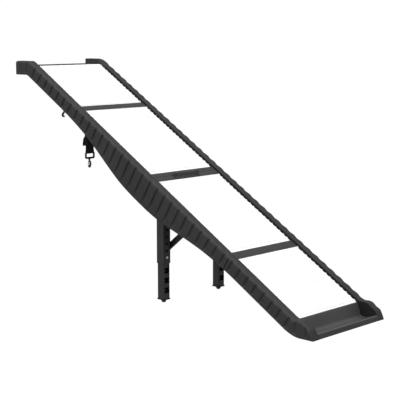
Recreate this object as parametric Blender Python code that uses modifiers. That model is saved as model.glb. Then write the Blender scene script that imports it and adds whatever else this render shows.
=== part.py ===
"""Folding dog ramp: two moulded halves that fold face to face on a cross pin,
a folding pair of height-adjustable legs with braces, and a tether with a snap.

World axes: +X points down the slope to the toe, +Y to the far side, +Z up.
Z = 0 is the ground under the toe and the feet. Lengths are in metres.
The deck frame has s running down the slope from the fold and n normal to it,
with n = 0 on the flat tops of the side rails.
"""
import math

import bmesh
import bpy
from mathutils import Matrix, Vector

for old in list(bpy.data.objects):
    bpy.data.objects.remove(old, do_unlink=True)

# ---------------------------------------------------------------- dimensions
ALPHA = math.radians(30.84)      # slope of the deck
FOLD_X, FOLD_Z = -0.0045, 0.465  # rail tops at the fold
PITCH = 0.042                    # one flute of the rail sides
HALF_W = 0.200                   # outer face of a rail at a flute's crest
FLUTE = 0.0055                   # depth of the grooves between flutes
RAIL_IN = 0.167                  # inner face of a rail
DECK_HW = 0.1667                 # half width of what lies between the rails
WALL_UP, WALL_LOW = 0.0027, 0.0033
RAIL_N = -0.0514                 # underside of the slim part of a rail
BELLY_STEP = 0.03                # underside of the deep part, as n, from the fold outwards
BELLY = (-0.1079, -0.1077, -0.1069, -0.1052, -0.1023, -0.0979, -0.0925, -0.0868, -0.0809, -0.0750, -0.0697,
         -0.0648, -0.0607, -0.0575, -0.0552, -0.0535, -0.0523, -0.0516, RAIL_N)
GAP = 0.0003                     # left between pieces that touch
TREAD_T = 0.0030
TREAD_TOP = -0.0095
BASE_TOP = TREAD_TOP - TREAD_T - GAP
BASE_T = 0.0032
BAR_TOP = -0.0065                # crossbars between the treads
RIB_N = -0.0240
BAR_MID = 0.0242                 # half width of the bar at the fold
BAR_LOW = (0.4402, 0.4764)       # bar of the lower half
BAR_UP = (-0.4743, -0.4402)      # bar of the upper half
TOE_S = 0.7884                   # lower end of the deck
CREST_S = -0.7690                # upper end of the deck
TOP_Z, TOP_UNDER = 0.869, 0.8145
TOP_X = -0.757                   # upper end, from the fold
TOE_X = 0.766                    # front of the toe, from the fold
REST_Z = 0.8515                  # level landing at the upper end

PIN_R, PIN_N = 0.0020, 0.0005    # fold pin
TONGUE_HW = 0.0550

LEG_X = 0.0305                   # middle of the legs, from the fold
LEG_Y = 0.1485
LEG_PIVOT_Z = 0.394
SLEEVE = (0.0376, 0.0352, 0.0018)  # X size, Y size, wall
SLEEVE_BOTTOM = 0.1465
TUBE = (0.0328, 0.0306, 0.0030)
TUBE_TOP = 0.255
TUBE_BOTTOM = 0.0158
BUTTON_Z = 0.169
HOLE_PITCH = 0.0258
HOLE_R, BUTTON_R = 0.0048, 0.0045
AXLE_R = 0.0050
CROSS_Z, CROSS_R = 0.362, 0.0080
BRACE_Z = 0.1995                 # brace pivot on the leg
BRACE_Y = (0.1215, 0.1305)
ROD_X, ROD_Z, ROD_R = 0.1735, 0.3148, 0.0040
TRACK_Y = (0.1000, 0.1035)
TRACK_N, TRACK_H = -0.0363, 0.0083   # middle and half height of the slot
TRACK_S = (0.2235, 0.4430)       # centres of the slot's round ends

TETHER_Y = -0.134
EYE_X, EYE_Z = -0.392, 0.667     # bar that the tether hangs on
RING_Z = (0.5240, 0.5020)
SNAP_TOP = 0.4932

# ---------------------------------------------------------------- collections
parts = bpy.data.collections.new("folding_dog_ramp")
cutters = bpy.data.collections.new("cutters")
bpy.context.scene.collection.children.link(parts)
bpy.context.scene.collection.children.link(cutters)

WORLD = Matrix.Translation((FOLD_X, 0, 0))
DECK = Matrix.Translation((FOLD_X, 0, FOLD_Z)) @ Matrix.Rotation(ALPHA, 4, "Y")
UPRIGHT = Matrix.Rotation(math.radians(90), 4, "X")


def deck_point(s, n, y=0.0):
    return DECK @ Vector((s, y, n))


def to_deck(x, z):
    """Deck coordinates of a point given from the fold in x, and in z above the ground."""
    q = DECK.inverted() @ Vector((x + FOLD_X, 0, z))
    return q.x, q.z


def to_flat(s, n):
    """x from the fold and z above the ground of a point of the deck frame."""
    q = deck_point(s, n)
    return q.x - FOLD_X, q.z


def material(name, colour, roughness, metallic=0.0):
    m = bpy.data.materials.new(name)
    m.use_nodes = True
    b = m.node_tree.nodes["Principled BSDF"]
    b.inputs["Base Color"].default_value = (*colour, 1)
    b.inputs["Roughness"].default_value = roughness
    b.inputs["Metallic"].default_value = metallic
    return m


# -------------------------------------------------------------------- shapes
def finish(name, mesh, matrix, look=None, smooth=None):
    ob = bpy.data.objects.new(name, mesh)
    ob.matrix_world = matrix
    if look:
        parts.objects.link(ob)
        mesh.materials.append(material(name, *look))
    else:
        cutters.objects.link(ob)
        ob.hide_render = True
        ob.display_type = "WIRE"
    if smooth:
        mesh.shade_smooth()
        mesh.set_sharp_from_angle(angle=math.radians(smooth))
    return ob


def curve_mesh(curve):
    """The closed mesh of a curve, with its caps welded on."""
    ob = bpy.data.objects.new("guide", curve)
    bpy.context.scene.collection.objects.link(ob)
    bpy.context.view_layer.update()
    graph = bpy.context.evaluated_depsgraph_get()
    mesh = bpy.data.meshes.new_from_object(ob.evaluated_get(graph))
    bpy.data.objects.remove(ob, do_unlink=True)
    bm = bmesh.new()
    bm.from_mesh(mesh)
    bmesh.ops.remove_doubles(bm, verts=bm.verts, dist=0.000001)
    bmesh.ops.recalc_face_normals(bm, faces=bm.faces)
    bm.to_mesh(mesh)
    bm.free()
    mesh.materials.clear()
    return mesh


def slab(name, loops, low, high, matrix, look=None, flat=False, smooth=None):
    """A flat outline given thickness. It stands in the XZ plane and spreads
    from low to high along Y, or lies in the XY plane when flat is true."""
    curve = bpy.data.curves.new(name, "CURVE")
    curve.dimensions = "2D"
    curve.fill_mode = "BOTH"
    curve.extrude = (high - low) / 2
    for loop in loops:
        line = curve.splines.new("POLY")
        line.points.add(len(loop) - 1)
        for point, (u, v) in zip(line.points, loop):
            point.co = (u, v, 0, 1)
        line.use_cyclic_u = True
    mesh = curve_mesh(curve)
    middle = (low + high) / 2
    if flat:
        mesh.transform(Matrix.Translation((0, 0, middle)))
    else:
        mesh.transform(Matrix.Translation((0, middle, 0)) @ UPRIGHT)
    return finish(name, mesh, matrix, look, smooth)


def box(name, x, y, z, matrix, look=None):
    bm = bmesh.new()
    bmesh.ops.create_cube(bm, size=1)
    size = Matrix.Diagonal((x[1] - x[0], y[1] - y[0], z[1] - z[0], 1))
    centre = Matrix.Translation(((x[0] + x[1]) / 2, (y[0] + y[1]) / 2, (z[0] + z[1]) / 2))
    bmesh.ops.transform(bm, matrix=centre @ size, verts=bm.verts)
    mesh = bpy.data.meshes.new(name)
    bm.to_mesh(mesh)
    bm.free()
    return finish(name, mesh, matrix, look)


def rod(name, axis, radius, low, high, at, matrix, look=None, sides=16):
    """A round bar along axis "X", "Y" or "Z", from low to high, through the point at."""
    bm = bmesh.new()
    bmesh.ops.create_cone(bm, cap_ends=True, segments=sides, radius1=radius, radius2=radius, depth=high - low)
    turn = {"Z": Matrix(), "Y": Matrix.Rotation(math.radians(90), 4, "X"), "X": Matrix.Rotation(math.radians(90), 4, "Y")}[axis]
    place = Vector(at)
    place["XYZ".index(axis)] = (low + high) / 2
    bmesh.ops.transform(bm, matrix=Matrix.Translation(place) @ turn, verts=bm.verts)
    mesh = bpy.data.meshes.new(name)
    bm.to_mesh(mesh)
    bm.free()
    return finish(name, mesh, matrix, look, 40)


def turned(name, profile, matrix, look=None, steps=24):
    """A turned piece: profile runs from the top of the axis down the outside."""
    mesh = bpy.data.meshes.new(name)
    bm = bmesh.new()
    row = [bm.verts.new((r, 0, z)) for r, z in profile]
    for a, b in zip(row, row[1:]):
        bm.edges.new((a, b))
    bm.to_mesh(mesh)
    bm.free()
    ob = finish(name, mesh, matrix, look)
    screw = ob.modifiers.new("turn", "SCREW")
    screw.axis = "Z"
    screw.angle = math.radians(360)
    screw.steps = screw.render_steps = steps
    screw.use_merge_vertices = True
    screw.merge_threshold = 0.00001
    return ob


def combine(ob, tool, how="DIFFERENCE", solver="EXACT"):
    step = ob.modifiers.new(how.lower(), "BOOLEAN")
    step.operation = how
    step.solver = solver
    step.object = tool
    return ob


def circle(u, v, r, sides=24, start=0.0):
    return [(u + r * math.cos(start + 2 * math.pi * k / sides), v + r * math.sin(start + 2 * math.pi * k / sides)) for k in range(sides)]


def round_box(u, v, w, h, r, sides=4):
    """A rectangle w by h about (u, v) with corners of radius r."""
    out = []
    for cu, cv, a0 in ((w / 2 - r, h / 2 - r, 0), (r - w / 2, h / 2 - r, 90), (r - w / 2, r - h / 2, 180), (w / 2 - r, r - h / 2, 270)):
        for k in range(sides + 1):
            a = math.radians(a0 + 90 * k / sides)
            out.append((u + cu + r * math.cos(a), v + cv + r * math.sin(a)))
    return out


def capsule(u0, v0, u1, v1, r, sides=10):
    """The outline of a bar with round ends."""
    a = math.atan2(v1 - v0, u1 - u0)
    out = []
    for cu, cv, turn in ((u1, v1, -math.pi / 2), (u0, v0, math.pi / 2)):
        for k in range(sides + 1):
            b = a + turn + math.pi * k / sides
            out.append((cu + r * math.cos(b), cv + r * math.sin(b)))
    return out


def bezier(p0, p1, p2, p3, steps):
    out = []
    for k in range(steps + 1):
        t = k / steps
        w = ((1 - t) ** 3, 3 * t * (1 - t) ** 2, 3 * t * t * (1 - t), t ** 3)
        out.append(tuple(sum(wi * p[i] for wi, p in zip(w, (p0, p1, p2, p3))) for i in (0, 1)))
    return out


def ribbon(path, half):
    """The closed outline of a strip along path, half its thickness each side."""
    left, right = [], []
    for k, (u, v) in enumerate(path):
        a, b = path[max(k - 1, 0)], path[min(k + 1, len(path) - 1)]
        du, dv = b[0] - a[0], b[1] - a[1]
        size = math.hypot(du, dv)
        left.append((u - dv / size * half, v + du / size * half))
        right.append((u + dv / size * half, v - du / size * half))
    return left + right[::-1]


def wire(name, points, radius, matrix, look=None, cyclic=False):
    curve = bpy.data.curves.new(name, "CURVE")
    curve.dimensions = "3D"
    curve.bevel_depth = radius
    curve.bevel_resolution = 2
    curve.use_fill_caps = True
    line = curve.splines.new("POLY")
    line.points.add(len(points) - 1)
    for point, co in zip(line.points, points):
        point.co = (*co, 1)
    line.use_cyclic_u = cyclic
    return finish(name, curve_mesh(curve), matrix, look, 50)


def axis_empty(name, location, parent=None):
    ob = bpy.data.objects.new(name, None)
    ob.empty_display_size = 0.03
    parts.objects.link(ob)
    ob.matrix_world = Matrix.Translation(location)
    ob["origin"] = tuple(location)
    if parent:
        hang(ob, parent)
    return ob


def hang(ob, parent):
    """Parent without moving: every axis empty stands square to the world."""
    ob.parent = parent
    ob.matrix_parent_inverse = Matrix.Translation(parent["origin"]).inverted()


# --------------------------------------------------------------------- looks
RAIL = ((0.045, 0.045, 0.047), 0.55)
DARK = ((0.04, 0.04, 0.042), 0.55)
WHITE = ((0.93, 0.93, 0.92), 0.85)
STEEL = ((0.55, 0.55, 0.56), 0.35, 1.0)
BLACK_STEEL = ((0.012, 0.012, 0.013), 0.4)
RUBBER = ((0.02, 0.02, 0.02), 0.9)
CHROME = ((0.8, 0.8, 0.82), 0.12, 1.0)
WEB = ((0.012, 0.012, 0.013), 0.95)

# --------------------------------------------------------------------- rails


def belly(s):
    """Underside of a rail, as n, at distance s along the slope."""
    t = abs(s) / BELLY_STEP
    k = int(t)
    if k >= len(BELLY) - 1:
        return RAIL_N
    return BELLY[k] + (BELLY[k + 1] - BELLY[k]) * (t - k)


def flute_stations(first, last):
    """(s, y) along a fluted face: a groove at every half pitch from first to last."""
    out = [(first, HALF_W - FLUTE)]
    for k in range(round((last - first) / PITCH)):
        for u in (0.07, 0.22, 0.5, 0.78, 0.93, 1.0):
            out.append((first + (k + u) * PITCH, HALF_W - FLUTE * abs(2 * u - 1) ** 3.5))
    for u in (0.07, 0.22, 0.5):
        out.append((last + u * PITCH, HALF_W - FLUTE * abs(2 * u - 1) ** 3.5))
    return out


def lower_side():
    """Side view of a lower rail with its cheek, from the fold round to the toe."""
    top = [to_flat(GAP, 0.0), (0.6816, 0.058)]
    nose = bezier((0.701, 0.058), (0.710, 0.058), (0.716, 0.0560), (0.724, 0.0510), 4)
    nose += bezier((0.7415, 0.0400), (0.7480, 0.0358), (0.7508, 0.0335), (0.7528, 0.0290), 4) + [(TOE_X, 0.0015)]
    under = [(TOE_X, 0.0), (0.7067, 0.0), (0.6923, 0.0019), (0.6757, 0.0061), to_flat(0.789, RAIL_N)]
    curve = [to_flat(k * BELLY_STEP, BELLY[k]) for k in range(len(BELLY) - 1, 0, -1)]
    return top + nose + under + curve + [to_flat(GAP, BELLY[0])]


def lower_hollow(t):
    nose = [(0.701, 0.058 - t), (0.714, 0.0562 - t * 1.2), (0.7385, 0.0400 - t), (0.7465, 0.0335 - t), (0.7618, 0.0), (0.7618, -0.02)]
    return [to_flat(GAP + t, -0.14), to_flat(GAP + t, -t), to_flat(0.7945, -t)] + nose + [(0.60, -0.02)]


def upper_side():
    """Side view of an upper rail, from the fold up to the level end and back."""
    top = [to_flat(-GAP, 0.0), to_flat(-0.776, 0.0)] + bezier(to_flat(-0.779, -0.0001), (-0.6745, 0.8685), (-0.6780, TOP_Z), (-0.6840, TOP_Z), 4)
    end = [(TOP_X + 0.002, TOP_Z), (TOP_X, TOP_Z - 0.002), (TOP_X, TOP_UNDER), (-0.692, TOP_UNDER), to_flat(-0.758, RAIL_N - 0.0004)]
    curve = [to_flat(-k * BELLY_STEP, BELLY[k]) for k in range(len(BELLY) - 1, 0, -1)]
    return top + end + curve + [to_flat(-GAP, BELLY[0])]


def upper_hollow(t):
    return [to_flat(-GAP - t, -0.14), to_flat(-GAP - t, -t), to_flat(-0.776, -t), (-0.680, TOP_Z - t - 0.001),
            (TOP_X + t, TOP_Z - t), (TOP_X + t, 0.79), (-0.66, 0.79), to_flat(-0.43, -0.10)]


def rail(name, half, side):
    low = half == "lower"
    sign = 1 if low else -1
    t = WALL_LOW if low else WALL_UP
    body = slab(name, [lower_side() if low else upper_side()], *sorted((side * RAIL_IN, side * (HALF_W + 0.01))), WORLD, RAIL)
    run = flute_stations(-PITCH / 2, PITCH * (18.5 if low else 17.5))
    plan = [(sign * -0.05, side * 0.15), (sign * -0.05, side * run[0][1])]
    plan += [(sign * s, side * y) for s, y in run]
    plan += [(sign * 0.95, side * HALF_W), (sign * 0.95, side * 0.15)]
    combine(body, slab(name + "_plan", [plan], -0.16, 0.09, DECK, flat=True), "INTERSECT")
    inner = slab(name + "_hollow", [lower_hollow(t) if low else upper_hollow(t)],
                 *sorted((side * (RAIL_IN + t), side * (HALF_W - FLUTE - t))), WORLD)
    combine(body, inner)
    if low:
        for x in (0.690, 0.735):
            cusp = [(x - 0.0060, side * 0.2006), (x - 0.0022, side * 0.1978), (x - 0.0008, side * 0.1946),
                    (x + 0.0008, side * 0.1946), (x + 0.0022, side * 0.1978), (x + 0.0060, side * 0.2006)]
            combine(body, slab("%s_groove_%d" % (name, x * 1000), [cusp], -0.01, 0.08, WORLD, flat=True), solver="MANIFOLD")
    if side < 0:
        s0, s1, n1 = (0.4656, 0.4680, -0.0045) if low else (-0.4952, -0.4934, -0.0260)
        combine(body, box(name + "_slot", (s0, s1), (-0.21, -0.1880), (-0.08, n1), DECK))
    return body


rail_lower_near = rail("rail_lower_near", "lower", -1)
rail_lower_far = rail("rail_lower_far", "lower", 1)
rail_upper_near = rail("rail_upper_near", "upper", -1)
rail_upper_far = rail("rail_upper_far", "upper", 1)

# ---------------------------------------------------------------- deck bases


def deck_outline(sign, bar, end):
    """Section of a deck base: bars on top, cross ribs and an end wall below."""
    under = BASE_TOP - BASE_T
    pts = [(GAP, BAR_TOP), (BAR_MID, BAR_TOP), (BAR_MID, BASE_TOP), (bar[0], BASE_TOP), (bar[0], BAR_TOP),
           (bar[1], BAR_TOP), (bar[1], BASE_TOP), (end, BASE_TOP), (end, under)]
    count = 8
    for k in range(count, 0, -1):
        s = 0.014 + (end - 0.030) * k / count
        pts += [(s, under), (s, RIB_N), (s - 0.003, RIB_N), (s - 0.003, under)]
    pts += [(GAP + 0.005, under), (GAP + 0.005, -0.085), (GAP, -0.085)]
    return [(sign * s, n) for s, n in pts]


def deck(name, sign, bar, end):
    ob = slab(name, [deck_outline(sign, bar, end)], -DECK_HW, DECK_HW, DECK, DARK)
    for k, y in enumerate((-0.099, -0.050, 0.0, 0.050, 0.099)):
        span = sorted((sign * 0.030, sign * (end - 0.006)))
        rib = box("%s_rib_%d" % (name, k), span, (y - 0.0015, y + 0.0015), (RIB_N + 0.0006, BASE_TOP - BASE_T + 0.001), DECK)
        combine(ob, rib, "UNION", "MANIFOLD")
    return ob


deck_lower = deck("deck_lower", 1, BAR_LOW, TOE_S)
combine(deck_lower, box("fold_notch_lower", (-0.01, 0.0262), (-0.0565, 0.0565), (-0.0255, 0.02), DECK))
deck_upper = deck("deck_upper", -1, (-BAR_UP[1], -BAR_UP[0]), 0.7655)
combine(deck_upper, box("fold_notch_upper", (-BAR_MID - 0.001, 0.01), (-TONGUE_HW - GAP, TONGUE_HW + GAP), (BASE_TOP, 0.02), DECK))

# -------------------------------------------------------------------- treads


def tread(name, s0, s1):
    """A mat with cross ridges every half pitch."""
    top, ridge = TREAD_TOP, 0.0007
    pts = [(s0, top - TREAD_T), (s0, top - 0.0006)]
    k = math.ceil((s0 + 0.006) / (PITCH / 2))
    while k * PITCH / 2 < s1 - 0.006:
        c = k * PITCH / 2
        pts += [(c - 0.0042, top - 0.0006), (c - 0.0020, top - 0.0006 + ridge), (c + 0.0020, top - 0.0006 + ridge), (c + 0.0042, top - 0.0006)]
        k += 1
    pts += [(s1, top - 0.0006), (s1, top - TREAD_T)]
    return slab(name, [pts], -DECK_HW + 0.0003, DECK_HW - 0.0003, DECK, WHITE)


tread_1 = tread("tread_1", CREST_S, BAR_UP[0] - GAP)
tread_2 = tread("tread_2", BAR_UP[1] + GAP, -BAR_MID - GAP)
tread_3 = tread("tread_3", BAR_MID + GAP, BAR_LOW[0] - GAP)
tread_4 = tread("tread_4", BAR_LOW[1] + GAP, TOE_S)

# ------------------------------------------------------------------ fold pin
arch = [(-0.0238, BAR_TOP), (-0.0200, BAR_TOP)]
arch += bezier((-0.0180, BAR_TOP), (-0.0090, BAR_TOP), (-0.0070, 0.0047), (0.0, 0.0047), 6)
arch += bezier((0.0, 0.0047), (0.0070, 0.0047), (0.0090, BAR_TOP), (0.0170, BAR_TOP), 6)[1:]
arch += [(0.0200, BAR_TOP - 0.001), (0.0200, BASE_TOP + GAP), (-0.0238, BASE_TOP + GAP)]
fold_tongue = slab("fold_tongue", [arch, circle(0, PIN_N, PIN_R + 0.00006, 24)], -TONGUE_HW, TONGUE_HW, DECK, DARK, smooth=30)
knuckle_shape = [(GAP + 0.0215, BAR_TOP + GAP), (GAP + 0.0215, BAR_TOP + 0.0022), (0.0055, BAR_TOP + 0.0040)]
knuckle_shape += [(0.0042 * math.cos(math.radians(a)), PIN_N + 0.0042 * math.sin(math.radians(a))) for a in range(10, 271, 20)]
knuckle_shape += [(0.0015, BAR_TOP + GAP)]
knuckles = []
for side, tag in ((-1, "near"), (1, "far")):
    span = sorted((side * 0.0568, side * 0.0660))
    knuckles.append(slab("fold_knuckle_" + tag, [knuckle_shape, circle(0, PIN_N, PIN_R + 0.00006, 24)], *span, DECK, DARK, smooth=30))
fold_pin = rod("fold_pin", "Y", PIN_R, -0.0655, 0.0655, (0, 0, PIN_N), DECK, STEEL)

# ----------------------------------------------------------------------- toe
floor_line = [to_flat(TOE_S + GAP, TREAD_TOP - 0.0004)] + bezier((0.6890, 0.0140), (0.6925, 0.0055), (0.6990, 0.0042), (0.7080, 0.0046), 6)
floor_line += bezier((0.7180, 0.0055), (0.7350, 0.0085), (0.7440, 0.0135), (0.7520, 0.0167), 6)
lip = [(0.7560, 0.0176), (0.7590, 0.0174), (0.7606, 0.0155), (TOE_X, 0.0015)]
under_line = [(TOE_X, 0.0), (0.712, 0.0), (0.700, 0.0018), (0.682, 0.0066), (0.6620, 0.0160), to_flat(TOE_S + GAP, -0.0445)]
nose_toe = slab("nose_toe", [floor_line + lip + under_line], -DECK_HW, DECK_HW, WORLD, DARK, smooth=30)

# ---------------------------------------------------------------- upper rest
rest_line = [(-0.6656, REST_Z), (TOP_X, REST_Z), (TOP_X, 0.8178), (TOP_X + 0.004, 0.8178), (TOP_X + 0.004, REST_Z - 0.004),
             (-0.6950, REST_Z - 0.004), (-0.6950, 0.8178), (-0.6910, 0.8178), (-0.6910, REST_Z - 0.004), (-0.6684, REST_Z - 0.004)]
top_rest = slab("top_rest", [rest_line], -DECK_HW, DECK_HW, WORLD, DARK)
top_grip_pad = slab("top_grip_pad", [round_box(-0.7235, 0.0, 0.0650, 0.320, 0.006)], TOP_UNDER, 0.8175, WORLD, RUBBER, flat=True)

# ---------------------------------------------------------------------- legs
pivot_s, pivot_n = to_deck(LEG_X, LEG_PIVOT_Z)


def leg(tag, side):
    y = side * LEG_Y
    w, d, t = SLEEVE
    ring = [round_box(LEG_X, y, w, d, 0.0025), round_box(LEG_X, y, w - 2 * t, d - 2 * t, 0.0010)]
    sleeve = slab("leg_sleeve_" + tag, ring, SLEEVE_BOTTOM, LEG_PIVOT_Z + 0.03, WORLD, BLACK_STEEL, flat=True)
    crown = [(LEG_X - 0.03, 0.10), (LEG_X + 0.03, 0.10), (LEG_X + 0.03, LEG_PIVOT_Z - 0.004)]
    crown += [(LEG_X + w / 2 * math.cos(math.radians(a)), LEG_PIVOT_Z + w / 2 * math.sin(math.radians(a))) for a in range(0, 181, 20)]
    crown += [(LEG_X - 0.03, LEG_PIVOT_Z - 0.004)]
    combine(sleeve, slab("leg_crown_" + tag, [crown], y - 0.03, y + 0.03, WORLD), "INTERSECT")
    combine(sleeve, rod("leg_bore_" + tag, "Y", AXLE_R + 0.0003, y - 0.03, y + 0.03, (LEG_X, 0, LEG_PIVOT_Z), WORLD))
    inner = sorted((side * 0.125, y))
    combine(sleeve, rod("brace_bore_" + tag, "Y", 0.0033, *inner, (LEG_X, 0, BRACE_Z), WORLD))
    for k in range(5):
        z = BUTTON_Z + k * HOLE_PITCH
        combine(sleeve, rod("leg_hole_%s_%d" % (tag, k), "X", HOLE_R, LEG_X + 0.010, LEG_X + 0.03, (0, y, z), WORLD))

    w, d, t = TUBE
    ring = [round_box(LEG_X, y, w, d, 0.0020), round_box(LEG_X, y, w - 2 * t, d - 2 * t, 0.001)]
    tube = slab("leg_tube_" + tag, ring, TUBE_BOTTOM, TUBE_TOP, WORLD, DARK, flat=True)
    combine(tube, rod("button_bore_" + tag, "X", HOLE_R, LEG_X + 0.008, LEG_X + 0.03, (0, y, BUTTON_Z), WORLD))
    for k, z in enumerate((0.1205, 0.0835, 0.0465)):
        pocket = slab("leg_pocket_%s_%d" % (tag, k), [round_box(y, z, 0.0220, 0.0205, 0.0015, 2)], -0.0017, 0.003,
                      Matrix.Translation((FOLD_X + LEG_X + w / 2, 0, 0)) @ Matrix.Rotation(math.radians(90), 4, "Z") @ UPRIGHT, flat=True)
        combine(tube, pocket)

    foot = slab("foot_" + tag, [round_box(LEG_X, y, 0.0366, 0.0334, 0.0025)], 0.0108, TUBE_BOTTOM - GAP, WORLD, RUBBER, flat=True)
    plug = slab("foot_plug_" + tag, [round_box(LEG_X, y, w - 2 * t - 0.0006, d - 2 * t - 0.0006, 0.001)], 0.0130, 0.0290, WORLD, flat=True)
    nub = turned("foot_nub_" + tag, [(0, 0.0125), (0.0120, 0.0125), (0.0120, 0.0100), (0.0100, 0.0080), (0.0086, 0.0050), (0.0072, 0.0020),
                                     (0.0062, 0.0006), (0.0050, 0.0), (0, 0.0)], Matrix.Translation((FOLD_X + LEG_X, y, 0)))
    combine(foot, plug, "UNION")
    combine(foot, nub, "UNION")

    face = LEG_X + w / 2 - t - GAP          # inner side of the tube's front wall
    out = Matrix.Translation((FOLD_X + face, y, BUTTON_Z)) @ Matrix.Rotation(math.radians(90), 4, "Y")
    r = BUTTON_R
    top = LEG_X + SLEEVE[0] / 2 + 0.0017 - face
    head = [(0, top), (r * 0.45, top - 0.0002), (r * 0.80, top - 0.0009), (r, top - 0.0024), (r, 0.0), (0.0064, 0.0), (0.0064, -0.0016), (0, -0.0016)]
    button = turned("leg_button_" + tag, head, out, STEEL)

    back = face - 0.0016 - GAP              # front of the spring leaf
    front, rear = back - 0.0004, LEG_X - w / 2 + t + 0.0007
    arm = [(front, BUTTON_Z - 0.006), (front, BUTTON_Z + 0.030)]
    bend = [((front + rear) / 2 + (front - rear) / 2 * math.cos(math.radians(a)), BUTTON_Z + 0.030 + 0.008 * math.sin(math.radians(a))) for a in range(20, 161, 20)]
    spring = slab("button_spring_" + tag, [ribbon(arm + bend + [(rear, BUTTON_Z + 0.030), (rear, BUTTON_Z - 0.020)], 0.0004)],
                  y - 0.0045, y + 0.0045, WORLD, STEEL)

    span = sorted((side * BRACE_Y[0], side * BRACE_Y[1]))
    holes = [circle(LEG_X, BRACE_Z, 0.0032, 20), circle(ROD_X, ROD_Z, ROD_R + 0.0003, 20)]
    brace = slab("brace_" + tag, [capsule(LEG_X, BRACE_Z, ROD_X, ROD_Z, 0.0090)] + holes, *span, WORLD, BLACK_STEEL)
    inward = Matrix.Translation((FOLD_X + LEG_X, side * (BRACE_Y[0] - GAP), BRACE_Z)) @ Matrix.Rotation(math.radians(side * 90), 4, "X")
    long = LEG_Y - SLEEVE[1] / 2 + SLEEVE[2] - BRACE_Y[0] + GAP
    rivet = turned("brace_rivet_" + tag, [(0, 0.0022), (0.0035, 0.0019), (0.0055, 0.0008), (0.0058, 0.0), (0.0030, 0.0), (0.0030, -long), (0, -long)], inward, STEEL)
    return sleeve, tube, foot, button, spring, brace, rivet


near = leg("near", -1)
far = leg("far", 1)
tube_ring = [circle(LEG_X, CROSS_Z, CROSS_R, 24), circle(LEG_X, CROSS_Z, CROSS_R - 0.0015, 24)]
leg_cross_tube = slab("leg_cross_tube", tube_ring, -0.1306, 0.1306, WORLD, BLACK_STEEL, smooth=40)
brace_rod = rod("brace_rod", "Y", ROD_R, -BRACE_Y[1], BRACE_Y[1], (ROD_X, 0, ROD_Z), WORLD, STEEL)
leg_axle = rod("leg_axle", "Y", AXLE_R, -0.1662, 0.1662, (LEG_X, 0, LEG_PIVOT_Z), WORLD, STEEL)

# ------------------------------------------------------- brackets and tracks
hung = []
for side, tag in ((-1, "near"), (1, "far")):
    shape = [(pivot_s - 0.017, RIB_N - GAP), (pivot_s + 0.017, RIB_N - GAP)]
    shape += [(pivot_s + 0.012 * math.cos(math.radians(a)), pivot_n + 0.012 * math.sin(math.radians(a))) for a in range(15, -196, -15)]
    plate = slab("leg_bracket_" + tag, [shape, circle(pivot_s, pivot_n, AXLE_R + 0.0003, 24)], *sorted((side * 0.1262, side * 0.1302)), DECK, BLACK_STEEL)
    ys = sorted((side * 0.1020, side * 0.1282))
    flange = box("leg_bracket_flange_" + tag, (pivot_s - 0.022, pivot_s + 0.022), ys, (RIB_N - 0.0033, RIB_N - GAP), DECK)
    combine(plate, flange, "UNION")
    hung.append(plate)
    for k, s in enumerate((pivot_s - 0.014, pivot_s + 0.014)):
        at = (s, side * 0.1105, 0)
        combine(plate, rod("leg_bracket_hole_%s_%d" % (tag, k), "Z", 0.0023, RIB_N - 0.01, RIB_N + 0.01, at, DECK))
        place = DECK @ Matrix.Translation((s, side * 0.1105, RIB_N - 0.0036)) @ Matrix.Rotation(math.radians(180), 4, "X")
        hung.append(turned("bracket_bolt_%s_%d" % (tag, k + 1), [(0, 0.0022), (0.0025, 0.0020), (0.0040, 0.0010), (0.0042, 0.0),
                           (0.0020, 0.0), (0.0020, -0.0100), (0, -0.0100)], place, STEEL, 12))

    s0, s1 = TRACK_S
    plate = slab("brace_track_" + tag, [
        [(s0 - 0.020, RIB_N - GAP), (s0 - 0.020, -0.0450), (s0 - 0.012, -0.0525), (s1 + 0.010, -0.0525), (s1 + 0.016, -0.0450), (s1 + 0.016, RIB_N - GAP)],
        capsule(s0, TRACK_N, s1, TRACK_N, TRACK_H)], *sorted((side * TRACK_Y[0], side * TRACK_Y[1])), DECK, BLACK_STEEL)
    ys = sorted((side * 0.0780, side * 0.1020))
    combine(plate, box("brace_track_flange_" + tag, (s0 - 0.020, s1 + 0.016), ys, (RIB_N - 0.0023, RIB_N - GAP), DECK), "UNION")
    hung.append(plate)
    for k, s in enumerate((s0 - 0.006, s1 + 0.004)):
        at = (s, side * 0.0880, 0)
        combine(plate, rod("brace_track_hole_%s_%d" % (tag, k), "Z", 0.0023, RIB_N - 0.01, RIB_N + 0.01, at, DECK))
        place = DECK @ Matrix.Translation((s, side * 0.0880, RIB_N - 0.0026)) @ Matrix.Rotation(math.radians(180), 4, "X")
        hung.append(turned("track_bolt_%s_%d" % (tag, k + 1), [(0, 0.0022), (0.0025, 0.0020), (0.0040, 0.0010), (0.0042, 0.0),
                           (0.0020, 0.0), (0.0020, -0.0090), (0, -0.0090)], place, STEEL, 12))

# -------------------------------------------------------------------- tether
eye_s, eye_n = to_deck(EYE_X, EYE_Z)
under = BASE_TOP - BASE_T
tether_eye = rod("tether_eye", "Y", 0.0025, TETHER_Y - 0.0225, TETHER_Y + 0.0225, (eye_s, 0, eye_n), DECK, STEEL, 16)
for k, y in enumerate((TETHER_Y - 0.0210, TETHER_Y + 0.0210)):
    post = [(eye_s - 0.0100, under - GAP), (eye_s + 0.0100, under - GAP), (eye_s + 0.0055, eye_n), (eye_s + 0.0035, eye_n - 0.0045),
            (eye_s - 0.0035, eye_n - 0.0045), (eye_s - 0.0055, eye_n)]
    combine(tether_eye, slab("tether_post_%d" % k, [post], y - 0.0012, y + 0.0012, DECK), "UNION")
combine(tether_eye, box("tether_plate", (eye_s - 0.0100, eye_s + 0.0100), (TETHER_Y - 0.0222, TETHER_Y + 0.0222), (under - 0.0022, under - GAP), DECK), "UNION")

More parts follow.
